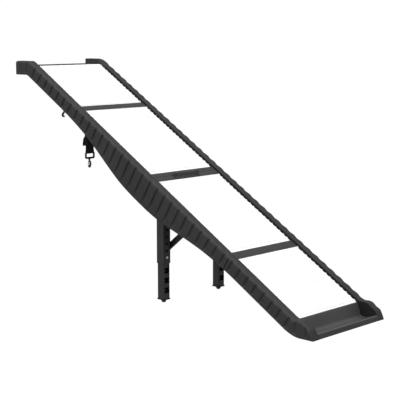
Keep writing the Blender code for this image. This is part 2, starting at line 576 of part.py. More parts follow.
WEB_T = 0.0018
bar_r, ring_r = 0.0025 + GAP + WEB_T / 2, 0.0018 + GAP + WEB_T / 2
lay = WEB_T / 2 + 0.0004


def ease(t):
    return 0.5 - 0.5 * math.cos(math.pi * min(max(t, 0.0), 1.0))


def strap_path():
    """Up over the bar, down through the ring and back up as a free tail."""
    pts = [(EYE_X - lay, EYE_Z - 0.034)]
    pts += [(EYE_X - lay - (bar_r - lay) * ease((k + 1) / 6), EYE_Z - 0.016 + 0.0155 * (k + 1) / 6) for k in range(6)]
    pts += [(EYE_X + bar_r * math.cos(math.radians(a)), EYE_Z + bar_r * math.sin(math.radians(a))) for a in range(170, 9, -20)]
    pts += [(EYE_X + bar_r - (bar_r - lay) * ease(k / 6), EYE_Z - 0.0005 - 0.0155 * k / 6) for k in range(7)]
    z0 = RING_Z[0]
    pts += [(EYE_X + lay, z0 + 0.016)]
    pts += [(EYE_X + lay + (ring_r - lay) * ease((k + 1) / 6), z0 + 0.016 - 0.0155 * (k + 1) / 6) for k in range(6)]
    pts += [(EYE_X + ring_r * math.cos(math.radians(a)), z0 + ring_r * math.sin(math.radians(a))) for a in range(-10, -171, -20)]
    pts += [(EYE_X - ring_r + (ring_r - lay) * ease(k / 6), z0 + 0.0005 + 0.0155 * k / 6) for k in range(7)]
    pts += [(EYE_X - lay - 0.012 * (k / 8) ** 1.6, z0 + 0.026 + 0.030 * k / 8) for k in range(9)]
    return pts


tether_strap = slab("tether_strap", [ribbon(strap_path(), WEB_T / 2)], TETHER_Y - 0.018, TETHER_Y + 0.018, WORLD, WEB, smooth=40)
hy, hz, zc = 0.0210, (RING_Z[0] - RING_Z[1]) / 2, (RING_Z[0] + RING_Z[1]) / 2
frame_line = [(EYE_X, u, v) for u, v in round_box(TETHER_Y, zc, 2 * hy, 2 * hz, 0.0030, 4)]
tether_ring = wire("tether_ring", frame_line, 0.0018, WORLD, CHROME, cyclic=True)
combine(tether_ring, rod("ring_boss", "Z", 0.0042, SNAP_TOP + GAP, RING_Z[1] + 0.0005, (EYE_X, TETHER_Y, 0), WORLD, sides=16), "UNION")

hook_line = [(EYE_X, TETHER_Y + u, SNAP_TOP - v) for u, v in
             [(0.0, 0.0045)] + bezier((0.0022, 0.0052), (0.0060, 0.0062), (0.0078, 0.0090), (0.0078, 0.0150), 6)
             + bezier((0.0078, 0.0165), (0.0078, 0.0235), (0.0045, 0.0275), (0.0, 0.0275), 6)
             + bezier((-0.0012, 0.0275), (-0.0052, 0.0272), (-0.0076, 0.0245), (-0.0078, 0.0205), 5)]
snap_hook = wire("snap_hook", hook_line, 0.0018, WORLD, CHROME)
stem = turned("snap_stem", [(0, 0.0), (0.0032, 0.0), (0.0034, -0.0020), (0.0030, -0.0050), (0.0022, -0.0064), (0, -0.0068)],
              Matrix.Translation((FOLD_X + EYE_X, TETHER_Y, SNAP_TOP)), steps=16)
ear = slab("snap_ear", [capsule(TETHER_Y - 0.0052, SNAP_TOP - 0.0068, TETHER_Y - 0.0005, SNAP_TOP - 0.0045, 0.0020, 6)], -0.0016, 0.0016,
           Matrix.Translation((FOLD_X + EYE_X, 0, 0)) @ Matrix.Rotation(math.radians(90), 4, "Z") @ UPRIGHT, flat=True)
combine(snap_hook, stem, "UNION")
combine(snap_hook, ear, "UNION")
GATE_Y, GATE_Z = TETHER_Y - 0.0066, SNAP_TOP - 0.0100
snap_gate = wire("snap_gate", [(EYE_X, GATE_Y + (TETHER_Y - 0.0078 - GATE_Y) * k / 4, GATE_Z + (SNAP_TOP - 0.0184 - GATE_Z) * k / 4) for k in range(5)],
                 0.0013, WORLD, CHROME)

# -------------------------------------------------------------- folded catch
hook = [(-0.5110, -0.0300), (-0.5110, -0.0600), (-0.5085, -0.0640), (-0.5110, -0.0820), (-0.5150, -0.0875), (-0.5205, -0.0890), (-0.5262, -0.0868),
        (-0.5295, -0.0815), (-0.5300, -0.0740), (-0.5300, -0.0300)]
catch = [(-0.5290, -0.0310), (-0.5290, -0.0790)]
catch += [(-0.5190 + 0.0100 * math.cos(math.radians(a)), -0.0790 + 0.0100 * math.sin(math.radians(a))) for a in range(180, 361, 20)]
catch += [(-0.5090, -0.0680), (-0.5130, -0.0665), (-0.5145, -0.0690), (-0.5145, -0.0790)]
catch += [(-0.5190 + 0.0045 * math.cos(math.radians(a)), -0.0790 + 0.0045 * math.sin(math.radians(a))) for a in range(340, 199, -20)]
catch += [(-0.5235, -0.0560), (-0.5235, -0.0310)]
fold_catch = slab("fold_catch", [catch], -0.1860, -0.1740, DECK, DARK, smooth=30)
combine(fold_catch, box("fold_catch_head", (-0.5320, -0.5180), (-0.1900, -0.1702), (-0.0420, -0.0300), DECK), "UNION")

# -------------------------------------------------------------------- joints
fold_axis = axis_empty("fold_axis", deck_point(0, PIN_N))
leg_axis = axis_empty("leg_axis", WORLD @ Vector((LEG_X, 0, LEG_PIVOT_Z)))
brace_axis = axis_empty("brace_axis", WORLD @ Vector((LEG_X, 0, BRACE_Z)), leg_axis)
tether_axis = axis_empty("tether_axis", WORLD @ Vector((EYE_X, TETHER_Y, EYE_Z)), fold_axis)
ring_axis = axis_empty("ring_axis", WORLD @ Vector((EYE_X, TETHER_Y, RING_Z[0])), tether_axis)
snap_axis = axis_empty("snap_axis", WORLD @ Vector((EYE_X, TETHER_Y, SNAP_TOP)), ring_axis)
gate_axis = axis_empty("gate_axis", WORLD @ Vector((EYE_X, GATE_Y, GATE_Z)), snap_axis)
for ob in (rail_upper_near, rail_upper_far, deck_upper, tread_1, tread_2, top_rest, top_grip_pad, fold_tongue, tether_eye, fold_catch):
    hang(ob, fold_axis)
hang(tether_strap, tether_axis)
hang(tether_ring, ring_axis)
hang(snap_hook, snap_axis)
hang(snap_gate, gate_axis)
for set_, side, tag in ((near, -1, "near"), (far, 1, "far")):
    sleeve, tube, foot, button, spring, brace, rivet = set_
    slide_axis = axis_empty("leg_slide_" + tag, WORLD @ Vector((LEG_X, side * LEG_Y, TUBE_BOTTOM)), leg_axis)
    press_axis = axis_empty("button_slide_" + tag, WORLD @ Vector((LEG_X, side * LEG_Y, BUTTON_Z)), slide_axis)
    hang(sleeve, leg_axis)
    hang(rivet, leg_axis)
    for ob in (tube, foot, spring):
        hang(ob, slide_axis)
    hang(button, press_axis)
    hang(brace, brace_axis)
hang(leg_cross_tube, leg_axis)
hang(brace_rod, brace_axis)
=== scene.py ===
"""Looks of the folding dog ramp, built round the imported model.

World axes as in the CAD: +X down the slope to the toe, +Y to the far side, +Z up,
metres. The deck frame has s running down the slope from the fold and n normal
to it, with n = 0 on the flat tops of the side rails. "Flat" coordinates are x
from the fold and z above the ground.
"""
import math

import bmesh
import bpy
from mathutils import Matrix, Vector


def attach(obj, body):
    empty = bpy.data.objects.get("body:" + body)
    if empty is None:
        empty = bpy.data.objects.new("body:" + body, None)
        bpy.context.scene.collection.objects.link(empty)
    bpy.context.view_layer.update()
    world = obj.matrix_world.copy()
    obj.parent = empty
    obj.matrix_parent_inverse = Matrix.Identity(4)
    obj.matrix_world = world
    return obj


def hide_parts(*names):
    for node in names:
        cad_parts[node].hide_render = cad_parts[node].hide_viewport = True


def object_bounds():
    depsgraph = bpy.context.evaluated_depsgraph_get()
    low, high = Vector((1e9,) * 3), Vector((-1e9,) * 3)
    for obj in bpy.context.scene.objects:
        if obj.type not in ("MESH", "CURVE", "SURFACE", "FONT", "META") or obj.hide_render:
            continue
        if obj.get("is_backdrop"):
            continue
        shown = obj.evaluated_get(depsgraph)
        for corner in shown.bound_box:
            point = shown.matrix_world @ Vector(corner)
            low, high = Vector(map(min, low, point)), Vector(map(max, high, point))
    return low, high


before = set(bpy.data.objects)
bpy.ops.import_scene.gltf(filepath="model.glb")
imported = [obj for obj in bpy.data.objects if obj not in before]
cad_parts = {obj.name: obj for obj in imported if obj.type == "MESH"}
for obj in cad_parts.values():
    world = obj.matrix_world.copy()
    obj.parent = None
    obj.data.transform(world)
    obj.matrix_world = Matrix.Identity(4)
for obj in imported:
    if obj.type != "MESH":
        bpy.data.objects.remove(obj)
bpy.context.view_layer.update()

# ---------------------------------------------------------------- dimensions
ALPHA = math.radians(30.84)
FOLD_X, FOLD_Z = -0.0045, 0.465
PITCH = 0.042
HALF_W = 0.200
FLUTE = 0.0055
RAIL_IN = 0.167
DECK_HW = 0.1667
WALL_UP, WALL_LOW = 0.0027, 0.0033
RAIL_N = -0.0514
BELLY_STEP = 0.03
BELLY = (-0.1079, -0.1077, -0.1069, -0.1052, -0.1023, -0.0979, -0.0925, -0.0868, -0.0809, -0.0750, -0.0697,
         -0.0648, -0.0607, -0.0575, -0.0552, -0.0535, -0.0523, -0.0516, RAIL_N)
GAP = 0.0003
TREAD_T = 0.0030
TREAD_TOP = -0.0095
BASE_TOP = TREAD_TOP - TREAD_T - GAP
BASE_T = 0.0032
BAR_TOP = -0.0065
RIB_N = -0.0240
BAR_MID = 0.0242
BAR_LOW = (0.4402, 0.4764)
BAR_UP = (-0.4710, -0.4402)
BAR_EDGE = 0.0230
TOE_S = 0.7884
CREST_S = -0.7690
TOP_Z, TOP_UNDER = 0.869, 0.8145
TOP_X = -0.757
TOE_X = 0.766
REST_Z = 0.8515
PIN_R, PIN_N = 0.0020, 0.0005
TONGUE_HW = 0.0550
LEG_X, LEG_Y = 0.0305, 0.1485
LEG_PIVOT_Z = 0.394
SLEEVE = (0.0376, 0.0352, 0.0018)
SLEEVE_BOTTOM = 0.1465
TUBE = (0.0328, 0.0306, 0.0030)
TUBE_TOP, TUBE_BOTTOM = 0.255, 0.0158
BUTTON_Z, HOLE_PITCH = 0.169, 0.0258
HOLE_R, BUTTON_R = 0.0048, 0.0045
AXLE_R = 0.0050
CROSS_Z, CROSS_R = 0.362, 0.0080
BRACE_Z = 0.1995
BRACE_Y = (0.1215, 0.1305)
ROD_X, ROD_Z, ROD_R = 0.1735, 0.3148, 0.0040
TRACK_S = (0.2235, 0.4430)
TETHER_Y = -0.134
EYE_X, EYE_Z = -0.392, 0.667
RING_Z = (0.5208, 0.5006)
SNAP_TOP = 0.4932
WEB_T = 0.0018

WORLD = Matrix.Translation((FOLD_X, 0, 0))
DECK = Matrix.Translation((FOLD_X, 0, FOLD_Z)) @ Matrix.Rotation(ALPHA, 4, "Y")
UPRIGHT = Matrix.Rotation(math.radians(90), 4, "X")
SIDES = ((-1, "near"), (1, "far"))


def to_deck(x, z):
    q = DECK.inverted() @ Vector((x + FOLD_X, 0, z))
    return q.x, q.z


def to_flat(s, n):
    q = DECK @ Vector((s, 0, n))
    return q.x - FOLD_X, q.z


def ease(t):
    return 0.5 - 0.5 * math.cos(math.pi * min(max(t, 0.0), 1.0))


# ----------------------------------------------------------------- materials
class Graph:
    """A principled material with a few shorthands for its node graph."""

    def __init__(self, name, roughness, metallic=0.0, specular=0.5):
        self.material = bpy.data.materials.new(name)
        self.material.use_nodes = True
        self.tree = self.material.node_tree
        self.shader = self.tree.nodes["Principled BSDF"]
        self.shader.inputs["Roughness"].default_value = roughness
        self.shader.inputs["Metallic"].default_value = metallic
        self.shader.inputs["Specular IOR Level"].default_value = specular
        self.place = self.node("TexCoord").outputs["Object"]

    def node(self, kind, **options):
        n = self.tree.nodes.new("ShaderNode" + kind)
        for key, value in options.items():
            setattr(n, key, value)
        return n

    def link(self, source, target):
        self.tree.links.new(source, target)

    def map(self, scale=(1, 1, 1), turn=(0, 0, 0)):
        n = self.node("Mapping")
        n.inputs["Scale"].default_value = scale
        n.inputs["Rotation"].default_value = turn
        self.link(self.place, n.inputs["Vector"])
        return n.outputs["Vector"]

    def noise(self, scale, detail=2.0, where=None, rough=0.5):
        n = self.node("TexNoise")
        n.inputs["Scale"].default_value = scale
        n.inputs["Detail"].default_value = detail
        n.inputs["Roughness"].default_value = rough
        self.link(where or self.place, n.inputs["Vector"])
        return n.outputs["Fac"]

    def cells(self, scale, where=None, feature="F1"):
        n = self.node("TexVoronoi", feature=feature)
        n.inputs["Scale"].default_value = scale
        self.link(where or self.place, n.inputs["Vector"])
        return n.outputs["Distance"]

    def span(self, value, low, high, to_low, to_high):
        n = self.node("MapRange")
        for key, v in (("From Min", low), ("From Max", high), ("To Min", to_low), ("To Max", to_high)):
            n.inputs[key].default_value = v
        self.link(value, n.inputs["Value"])
        return n.outputs["Result"]

    def math(self, operation, a, b=None):
        n = self.node("Math", operation=operation)
        for socket, value in ((n.inputs[0], a), (n.inputs[1], b)):
            if value is None:
                continue
            if isinstance(value, (int, float)):
                socket.default_value = value
            else:
                self.link(value, socket)
        return n.outputs["Value"]

    def blend(self, factor, a, b):
        n = self.node("Mix", data_type="RGBA")
        self.link(factor, n.inputs["Factor"])
        for socket, value in ((n.inputs[6], a), (n.inputs[7], b)):
            if isinstance(value, tuple):
                socket.default_value = (*value, 1)
            else:
                self.link(value, socket)
        return n.outputs[2]

    def colour(self, value):
        self.link(value, self.shader.inputs["Base Color"])

    def roughness(self, value):
        self.link(value, self.shader.inputs["Roughness"])

    def bump(self, *layers):
        """Each layer is (height, strength, distance)."""
        before = None
        for height, strength, distance in layers:
            n = self.node("Bump")
            n.inputs["Strength"].default_value = strength
            n.inputs["Distance"].default_value = distance
            self.link(height, n.inputs["Height"])
            if before:
                self.link(before, n.inputs["Normal"])
            before = n.outputs["Normal"]
        self.link(before, self.shader.inputs["Normal"])


def tint(colour, k):
    return tuple(min(1.0, c * k) for c in colour)


def plastic(name, colour, rough=0.5, specular=0.35, wear=1.5, grain=1.0, mottle=0.10, crown=None):
    """Moulded plastic: fine spark-eroded grain, slow mottling, paler worn edges and faint scuffs. A crown colour, where
    given, is painted highlight on faces that look up.
    """
    g = Graph(name, rough, specular=specular)
    slow = g.noise(7.0, 3.0)
    base = g.blend(g.span(slow, 0.3, 0.7, 0.0, 1.0), tint(colour, 1 - mottle), tint(colour, 1 + mottle))
    scuff = g.noise(60.0, 4.0, g.map((1.0, 6.0, 1.0), (0, -ALPHA, 0)), 0.65)
    scuffed = g.span(scuff, 0.60, 0.78, 0.0, 0.30)
    base = g.blend(scuffed, base, tint(colour, 1.35))
    # Painted highlight: faces that look up blend towards the paler crown colour.
    if crown:
        facing = g.node("SeparateXYZ")
        g.link(g.node("NewGeometry").outputs["Normal"], facing.inputs["Vector"])
        base = g.blend(g.span(facing.outputs["Z"], 0.45, 0.93, 0.0, 1.0), base, crown)
    edge = g.span(g.node("NewGeometry").outputs["Pointiness"], 0.515, 0.60, 0.0, 0.55)
    g.colour(g.blend(edge, base, tint(colour, wear)))
    fine = g.cells(1500.0)
    soft = g.noise(420.0, 2.0)
    g.roughness(g.span(g.noise(30.0, 2.0), 0.3, 0.7, rough - 0.05, rough + 0.06))
    g.bump((fine, 0.22 * grain, 0.0002), (soft, 0.12 * grain, 0.0004))
    return g.material


def tread_look(name):
    """White mat: a gritted, slightly waxy surface."""
    g = Graph(name, 0.72, specular=0.25)
    grit = g.cells(900.0)
    fine = g.noise(2200.0, 2.0)
    slow = g.noise(11.0, 3.0)
    base = g.blend(g.span(slow, 0.35, 0.7, 0.0, 1.0), (0.905, 0.905, 0.900), (0.945, 0.945, 0.940))
    base = g.blend(g.span(grit, 0.05, 0.55, 0.20, 0.0), base, (0.80, 0.80, 0.79))
    g.colour(base)
    g.roughness(g.span(fine, 0.3, 0.7, 0.62, 0.82))
    g.bump((grit, 0.35, 0.0004), (fine, 0.25, 0.0002))
    return g.material


def rubber_look(name, dark=(0.012, 0.012, 0.012), pale=(0.026, 0.026, 0.025)):
    g = Graph(name, 0.8, specular=0.3)
    slow = g.noise(40.0, 4.0)
    g.colour(g.blend(g.span(slow, 0.35, 0.7, 0.0, 1.0), dark, pale))
    g.roughness(g.span(slow, 0.3, 0.7, 0.70, 0.88))
    g.bump((g.noise(1300.0, 3.0), 0.3, 0.0003), (g.noise(160.0, 2.0), 0.1, 0.0005))
    return g.material


def coat_look(name, colour, rough=0.42, specular=0.3, wear=(0.05, 0.05, 0.052)):
    """Powder coat on steel: orange peel, with thinner coat on the edges."""
    g = Graph(name, rough, specular=specular)
    slow = g.noise(14.0, 3.0)
    base = g.blend(g.span(slow, 0.35, 0.7, 0.0, 1.0), tint(colour, 0.85), tint(colour, 1.15))
    edge = g.span(g.node("NewGeometry").outputs["Pointiness"], 0.53, 0.62, 0.0, 0.5)
    g.colour(g.blend(edge, base, wear))
    g.roughness(g.span(g.noise(220.0, 3.0), 0.3, 0.7, rough - 0.08, rough + 0.10))
    g.bump((g.noise(650.0, 2.0), 0.20, 0.0003), (g.noise(2600.0, 1.0), 0.10, 0.0001))
    return g.material


def zinc_look(name):
    """Zinc plated steel: fine drawn lines, mottled plating."""
    g = Graph(name, 0.34, metallic=1.0)
    g.shader.inputs["Anisotropic"].default_value = 0.35
    slow = g.noise(70.0, 4.0)
    lines = g.noise(300.0, 3.0, g.map((1.0, 14.0, 1.0)))
    base = g.blend(g.span(slow, 0.3, 0.7, 0.0, 1.0), (0.50, 0.50, 0.51), (0.66, 0.66, 0.66))
    g.colour(g.blend(g.span(lines, 0.55, 0.75, 0.0, 0.35), base, (0.38, 0.38, 0.39)))
    g.roughness(g.span(lines, 0.3, 0.7, 0.26, 0.42))
    g.bump((lines, 0.15, 0.0001), (g.noise(900.0, 2.0), 0.08, 0.0001))
    return g.material


def chrome_look(name, colour=(0.50, 0.50, 0.52), rough=0.14):
    g = Graph(name, rough, metallic=1.0)
    slow = g.noise(90.0, 3.0)
    g.colour(g.blend(g.span(slow, 0.35, 0.7, 0.0, 1.0), tint(colour, 0.9), tint(colour, 1.1)))
    g.roughness(g.span(slow, 0.3, 0.7, rough - 0.04, rough + 0.08))
    g.bump((g.noise(700.0, 2.0), 0.06, 0.0001))
    return g.material


def webbing_look(name, colour=(0.014, 0.014, 0.015)):
    """Woven tape: pairs of warp and weft threads as a plain weave, paler on the crowns."""
    g = Graph(name, 0.85, specular=0.2)
    g.shader.inputs["Sheen Weight"].default_value = 0.15
    g.shader.inputs["Sheen Roughness"].default_value = 0.5
    split = g.node("SeparateXYZ")
    g.link(g.place, split.inputs["Vector"])
    across = g.math("SINE", g.math("MULTIPLY", split.outputs["Y"], 2 * math.pi / 0.0018))
    ahead = g.math("SINE", g.math("MULTIPLY", split.outputs["Z"], 2 * math.pi / 0.0014))
    weave = g.math("MULTIPLY", across, ahead)
    fibre = g.noise(3800.0, 2.0, g.map((1, 1, 0.15)))
    crown = g.span(weave, -0.4, 1.0, 0.0, 1.0)
    base = g.blend(crown, tint(colour, 0.55), tint(colour, 1.7))
    g.colour(g.blend(g.span(fibre, 0.45, 0.75, 0.0, 0.4), base, tint(colour, 2.4)))
    g.roughness(g.span(fibre, 0.3, 0.7, 0.78, 0.95))
    g.bump((weave, 0.6, 0.00025), (fibre, 0.2, 0.0001))
    return g.material


LOOKS = {
    "rail": plastic("rail_moulded", (0.031, 0.031, 0.0315), 0.52, 0.18),
    # rail_inner and rail_cheek are near-black copies of the rail plastic for the rails' inner wall faces and the toe
    # cheeks' inner faces: painted shade.
    "rail_inner": plastic("rail_inner_painted_shade", (0.0095, 0.0095, 0.0099), 0.62, 0.10, wear=1.2),
    "rail_cheek": plastic("rail_cheek_painted_shade", (0.0170, 0.0170, 0.0174), 0.62, 0.12, wear=1.2),
    "rail_border": plastic("rail_inner_border", (0.030, 0.030, 0.0305), 0.55, 0.18, wear=1.2),
    "deck": plastic("deck_moulded", (0.033, 0.033, 0.0335), 0.46, 0.22),
    # toe and toe_shaded_front are lit and shaded copies of one plastic: the paler toe colour and its paler crown on
    # faces that look up are painted highlight, and the darker front face is painted shade.
    "toe": plastic("toe_moulded_painted_highlight", (0.056, 0.056, 0.0565), 0.34, 0.50, grain=0.7, crown=(0.069, 0.069, 0.0695)),
    "toe_shaded_front": plastic("toe_front_painted_shade", (0.034, 0.034, 0.0345), 0.42, 0.30, grain=0.7),
    "hollow": plastic("hollow_shade", (0.004, 0.004, 0.0042), 0.75, 0.06, wear=1.2),
    "glint": plastic("boss_shade", (0.020, 0.020, 0.0205), 0.50, 0.2, wear=1.2),
    "nub": rubber_look("foot_nub_grey", (0.023, 0.023, 0.0225), (0.031, 0.031, 0.030)),
    "tread": tread_look("tread_mat_white"),
    "rubber": rubber_look("rubber_moulded"),
    "black": coat_look("black_powder_coat", (0.0090, 0.0090, 0.0094), wear=(0.010, 0.010, 0.0105)),
    # sleeve_front and tube_front are paler copies of the sleeve coat and the tube plastic for the legs' faces towards
    # +X: painted light.
    "sleeve": coat_look("leg_sleeve_coat", (0.028, 0.028, 0.0285), 0.48, 0.26, wear=(0.075, 0.075, 0.076)),
    "sleeve_front": coat_look("leg_sleeve_painted_light", (0.043, 0.043, 0.0435), 0.48, 0.26, wear=(0.075, 0.075, 0.076)),
    "tube": plastic("leg_tube_moulded", (0.0225, 0.0225, 0.023), 0.50, 0.22),
    "tube_front": plastic("leg_tube_painted_light", (0.042, 0.042, 0.0425), 0.50, 0.26),
    "zinc": zinc_look("zinc_plated"),
    # The plated button's near-white coat is a painted glint: diffuse colour in place of the plating's reflection.
    "button": coat_look("button_painted_glint", (0.78, 0.78, 0.79), 0.30, 0.6, wear=(0.75, 0.75, 0.76)),
    "chrome": chrome_look("chrome_plated"),
    "gunmetal": chrome_look("snap_gunmetal", (0.11, 0.11, 0.115), 0.30),
    "blackened": coat_look("blackened_wire", (0.010, 0.010, 0.011), 0.28, 0.45, wear=(0.03, 0.03, 0.03)),
    "webbing": webbing_look("webbing_woven"),
    "thread": webbing_look("stitch_thread", (0.030, 0.030, 0.031)),
}

# -------------------------------------------------------------- mesh helpers
home = bpy.context.scene.collection


def made(name, mesh, matrix=None):
    """A new object whose place is in its mesh."""
    if matrix is not None:
        mesh.transform(matrix)
    ob = bpy.data.objects.new(name, mesh)
    home.objects.link(ob)
    return ob


def settle(ob):
    """Turns the modifiers into the mesh."""
    bpy.context.view_layer.update()
    graph = bpy.context.evaluated_depsgraph_get()
    mesh = bpy.data.meshes.new_from_object(ob.evaluated_get(graph), preserve_all_data_layers=True, depsgraph=graph)
    old = ob.data
    ob.modifiers.clear()
    ob.data = mesh
    bpy.data.meshes.remove(old)
    return ob


def combine(ob, tool, how="DIFFERENCE", solver="MANIFOLD"):
    step = ob.modifiers.new(how.lower(), "BOOLEAN")
    step.operation = how
    step.solver = solver
    step.object = tool
    settle(ob)
    mesh = tool.data
    bpy.data.objects.remove(tool, do_unlink=True)
    bpy.data.meshes.remove(mesh)
    return ob


def rounded(ob, width, segments=2, angle=35):
    step = ob.modifiers.new("edges", "BEVEL")
    step.width = width
    step.segments = segments
    step.limit_method = "ANGLE"
    step.angle_limit = math.radians(angle)
    step.use_clamp_overlap = True
    settle(ob)
    return ob


def shade(ob, angle=35, weighted=False):
    ob.data.shade_smooth()
    ob.data.set_sharp_from_angle(angle=math.radians(angle))
    if weighted:
        step = ob.modifiers.new("normals", "WEIGHTED_NORMAL")
        step.keep_sharp = True
        step.weight = 60
    return ob


def dress(ob, *looks):
    """Sets the materials and keeps each face on its slot, which clearing them would reset."""
    marks = [face.material_index for face in ob.data.polygons]
    ob.data.materials.clear()
    for look in looks:
        ob.data.materials.append(LOOKS[look])
    for face, mark in zip(ob.data.polygons, marks):
        face.material_index = min(mark, len(looks) - 1)
    return ob


def inked(ob, mark, *looks):
    """The same slots as the piece it is cut from, every face marked for one of them."""
    dress(ob, *looks)
    for face in ob.data.polygons:
        face.material_index = mark
    return ob


def piece(ob, body, nodes, look, *more):
    """Gives a finished piece its materials, its body and the CAD nodes it stands for."""
    dress(ob, look, *more)
    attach(ob, body)
    if nodes:
        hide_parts(*nodes)
    return ob


def skin(name, rings, closed=True, caps=True, index=None, matrix=None, loop=False):
    """A mesh through rings of points that all have the same length."""
    n = len(rings[0])
    verts = [tuple(p) for ring in rings for p in ring]
    faces, marks = [], []
    last = len(rings) if loop else len(rings) - 1
    for i in range(last):
        for j in range(n if closed else n - 1):
            a, b = i * n + j, i * n + (j + 1) % n
            c, d = (i + 1) % len(rings) * n + (j + 1) % n, (i + 1) % len(rings) * n + j
            faces.append((a, b, c, d))
            marks.append(index(i, j) if index else 0)
    if caps and not loop:
        faces.append(tuple(reversed(range(n))))
        faces.append(tuple(range((len(rings) - 1) * n, len(rings) * n)))
        marks += [0, 0]
    mesh = bpy.data.meshes.new(name)
    mesh.from_pydata(verts, [], faces)
    for face, mark in zip(mesh.polygons, marks):
        face.material_index = mark
    bm = bmesh.new()
    bm.from_mesh(mesh)
    bmesh.ops.recalc_face_normals(bm, faces=bm.faces)
    bm.to_mesh(mesh)
    bm.free()
    return made(name, mesh, matrix)


def curve_mesh(curve):
    ob = bpy.data.objects.new("guide", curve)
    home.objects.link(ob)
    bpy.context.view_layer.update()
    graph = bpy.context.evaluated_depsgraph_get()
    mesh = bpy.data.meshes.new_from_object(ob.evaluated_get(graph))
    bpy.data.objects.remove(ob, do_unlink=True)
    bm = bmesh.new()
    bm.from_mesh(mesh)
    bmesh.ops.remove_doubles(bm, verts=bm.verts, dist=0.000001)
    bmesh.ops.recalc_face_normals(bm, faces=bm.faces)
    bm.to_mesh(mesh)
    bm.free()
    mesh.materials.clear()
    return mesh


def slab(name, loops, low, high, matrix, flat=False):
    """A flat outline given thickness, standing in XZ and spread along Y, or lying in XY when flat."""
    curve = bpy.data.curves.new(name, "CURVE")
    curve.dimensions = "2D"
    curve.fill_mode = "BOTH"
    curve.extrude = (high - low) / 2
    for loop in loops:
        line = curve.splines.new("POLY")
        line.points.add(len(loop) - 1)
        for point, (u, v) in zip(line.points, loop):
            point.co = (u, v, 0, 1)
        line.use_cyclic_u = True
    mesh = curve_mesh(curve)
    middle = (low + high) / 2
    if flat:
        mesh.transform(Matrix.Translation((0, 0, middle)))
    else:
        mesh.transform(Matrix.Translation((0, middle, 0)) @ UPRIGHT)
    return made(name, mesh, matrix)


def block(name, x, y, z, matrix):
    bm = bmesh.new()
    bmesh.ops.create_cube(bm, size=1)
    size = Matrix.Diagonal((x[1] - x[0], y[1] - y[0], z[1] - z[0], 1))
    centre = Matrix.Translation(((x[0] + x[1]) / 2, (y[0] + y[1]) / 2, (z[0] + z[1]) / 2))
    bmesh.ops.transform(bm, matrix=centre @ size, verts=bm.verts)
    mesh = bpy.data.meshes.new(name)
    bm.to_mesh(mesh)
    bm.free()
    return made(name, mesh, matrix)


def turned(name, profile, matrix, steps=40):
    """A turned piece about local Z: profile runs from the top of the axis down the outside to the bottom of the axis."""
    inner = [(r, z) for r, z in profile if r > 1e-7]
    rings = [[(r * math.cos(2 * math.pi * k / steps), r * math.sin(2 * math.pi * k / steps), z) for k in range(steps)] for r, z in inner]
    return skin(name, rings, matrix=matrix)


def tube_along(name, points, radii, matrix=None, sides=14, loop=False):
    """A round wire through points, with a radius for each."""
    rings = []
    up = Vector((1, 0, 0))
    count = len(points)
    for k in range(count):
        p = Vector(points[k])
        a = Vector(points[(k - 1) % count if loop else max(k - 1, 0)])
        b = Vector(points[(k + 1) % count if loop else min(k + 1, count - 1)])
        t = (b - a).normalized()
        u = (up - t * up.dot(t)).normalized()
        v = t.cross(u)
        r = radii[k] if isinstance(radii, (list, tuple)) else radii
        rings.append([p + u * (r * math.cos(2 * math.pi * j / sides)) + v * (r * math.sin(2 * math.pi * j / sides)) for j in range(sides)])
    return skin(name, rings, matrix=matrix, loop=loop)


def circle(u, v, r, sides=32, start=0.0):
    return [(u + r * math.cos(start + 2 * math.pi * k / sides), v + r * math.sin(start + 2 * math.pi * k / sides)) for k in range(sides)]


def round_box(u, v, w, h, r, sides=6):
    out = []
    for cu, cv, a0 in ((w / 2 - r, h / 2 - r, 0), (r - w / 2, h / 2 - r, 90), (r - w / 2, r - h / 2, 180), (w / 2 - r, r - h / 2, 270)):
        for k in range(sides + 1):
            a = math.radians(a0 + 90 * k / sides)
            out.append((u + cu + r * math.cos(a), v + cv + r * math.sin(a)))
    return out


def capsule(u0, v0, u1, v1, r, sides=16):
    a = math.atan2(v1 - v0, u1 - u0)
    out = []
    for cu, cv, turn in ((u1, v1, -math.pi / 2), (u0, v0, math.pi / 2)):
        for k in range(sides + 1):
            b = a + turn + math.pi * k / sides
            out.append((cu + r * math.cos(b), cv + r * math.sin(b)))
    return out


def bezier(p0, p1, p2, p3, steps):
    out = []
    for k in range(steps + 1):
        t = k / steps
        w = ((1 - t) ** 3, 3 * t * (1 - t) ** 2, 3 * t * t * (1 - t), t ** 3)
        out.append(tuple(sum(wi * p[i] for wi, p in zip(w, (p0, p1, p2, p3))) for i in range(len(p0))))
    return out


def soften(loop, radius, steps=3):
    """The outline with every corner rounded, as far as its edges allow."""
    out = []
    count = len(loop)
    for k in range(count):
        p, a, b = Vector(loop[k]), Vector(loop[k - 1]), Vector(loop[(k + 1) % count])
        ea, eb = a - p, b - p
        if ea.length < 1e-9 or eb.length < 1e-9:
            continue
        angle = ea.angle(eb)
        if angle > math.radians(165):
            out.append(tuple(p))
            continue
        reach = min(radius / math.tan(angle / 2), 0.45 * ea.length, 0.45 * eb.length)
        first, second = p + ea.normalized() * reach, p + eb.normalized() * reach
        for i in range(steps + 1):
            t = i / steps
            out.append(tuple(first * (1 - t) ** 2 + p * (2 * t * (1 - t)) + second * t ** 2))
    return out


class Line:
    """A polyline that can be asked for points by distance."""

    def __init__(self, points):
        self.points = [Vector(p) for p in points]
        self.far = [0.0]
        for a, b in zip(self.points, self.points[1:]):
            self.far.append(self.far[-1] + (b - a).length)
        self.length = self.far[-1]

    def at(self, d):
        d = min(max(d, 0.0), self.length)
        for k in range(len(self.points) - 1):
            if d <= self.far[k + 1] or k == len(self.points) - 2:
                gap = self.far[k + 1] - self.far[k]
                t = (d - self.far[k]) / gap if gap else 0.0
                return self.points[k].lerp(self.points[k + 1], t)

    def where_x(self, x):
        for k in range(len(self.points) - 1):
            a, b = self.points[k].x, self.points[k + 1].x
            if min(a, b) <= x <= max(a, b) and a != b:
                return self.far[k] + (self.far[k + 1] - self.far[k]) * (x - a) / (b - a)
        return self.length


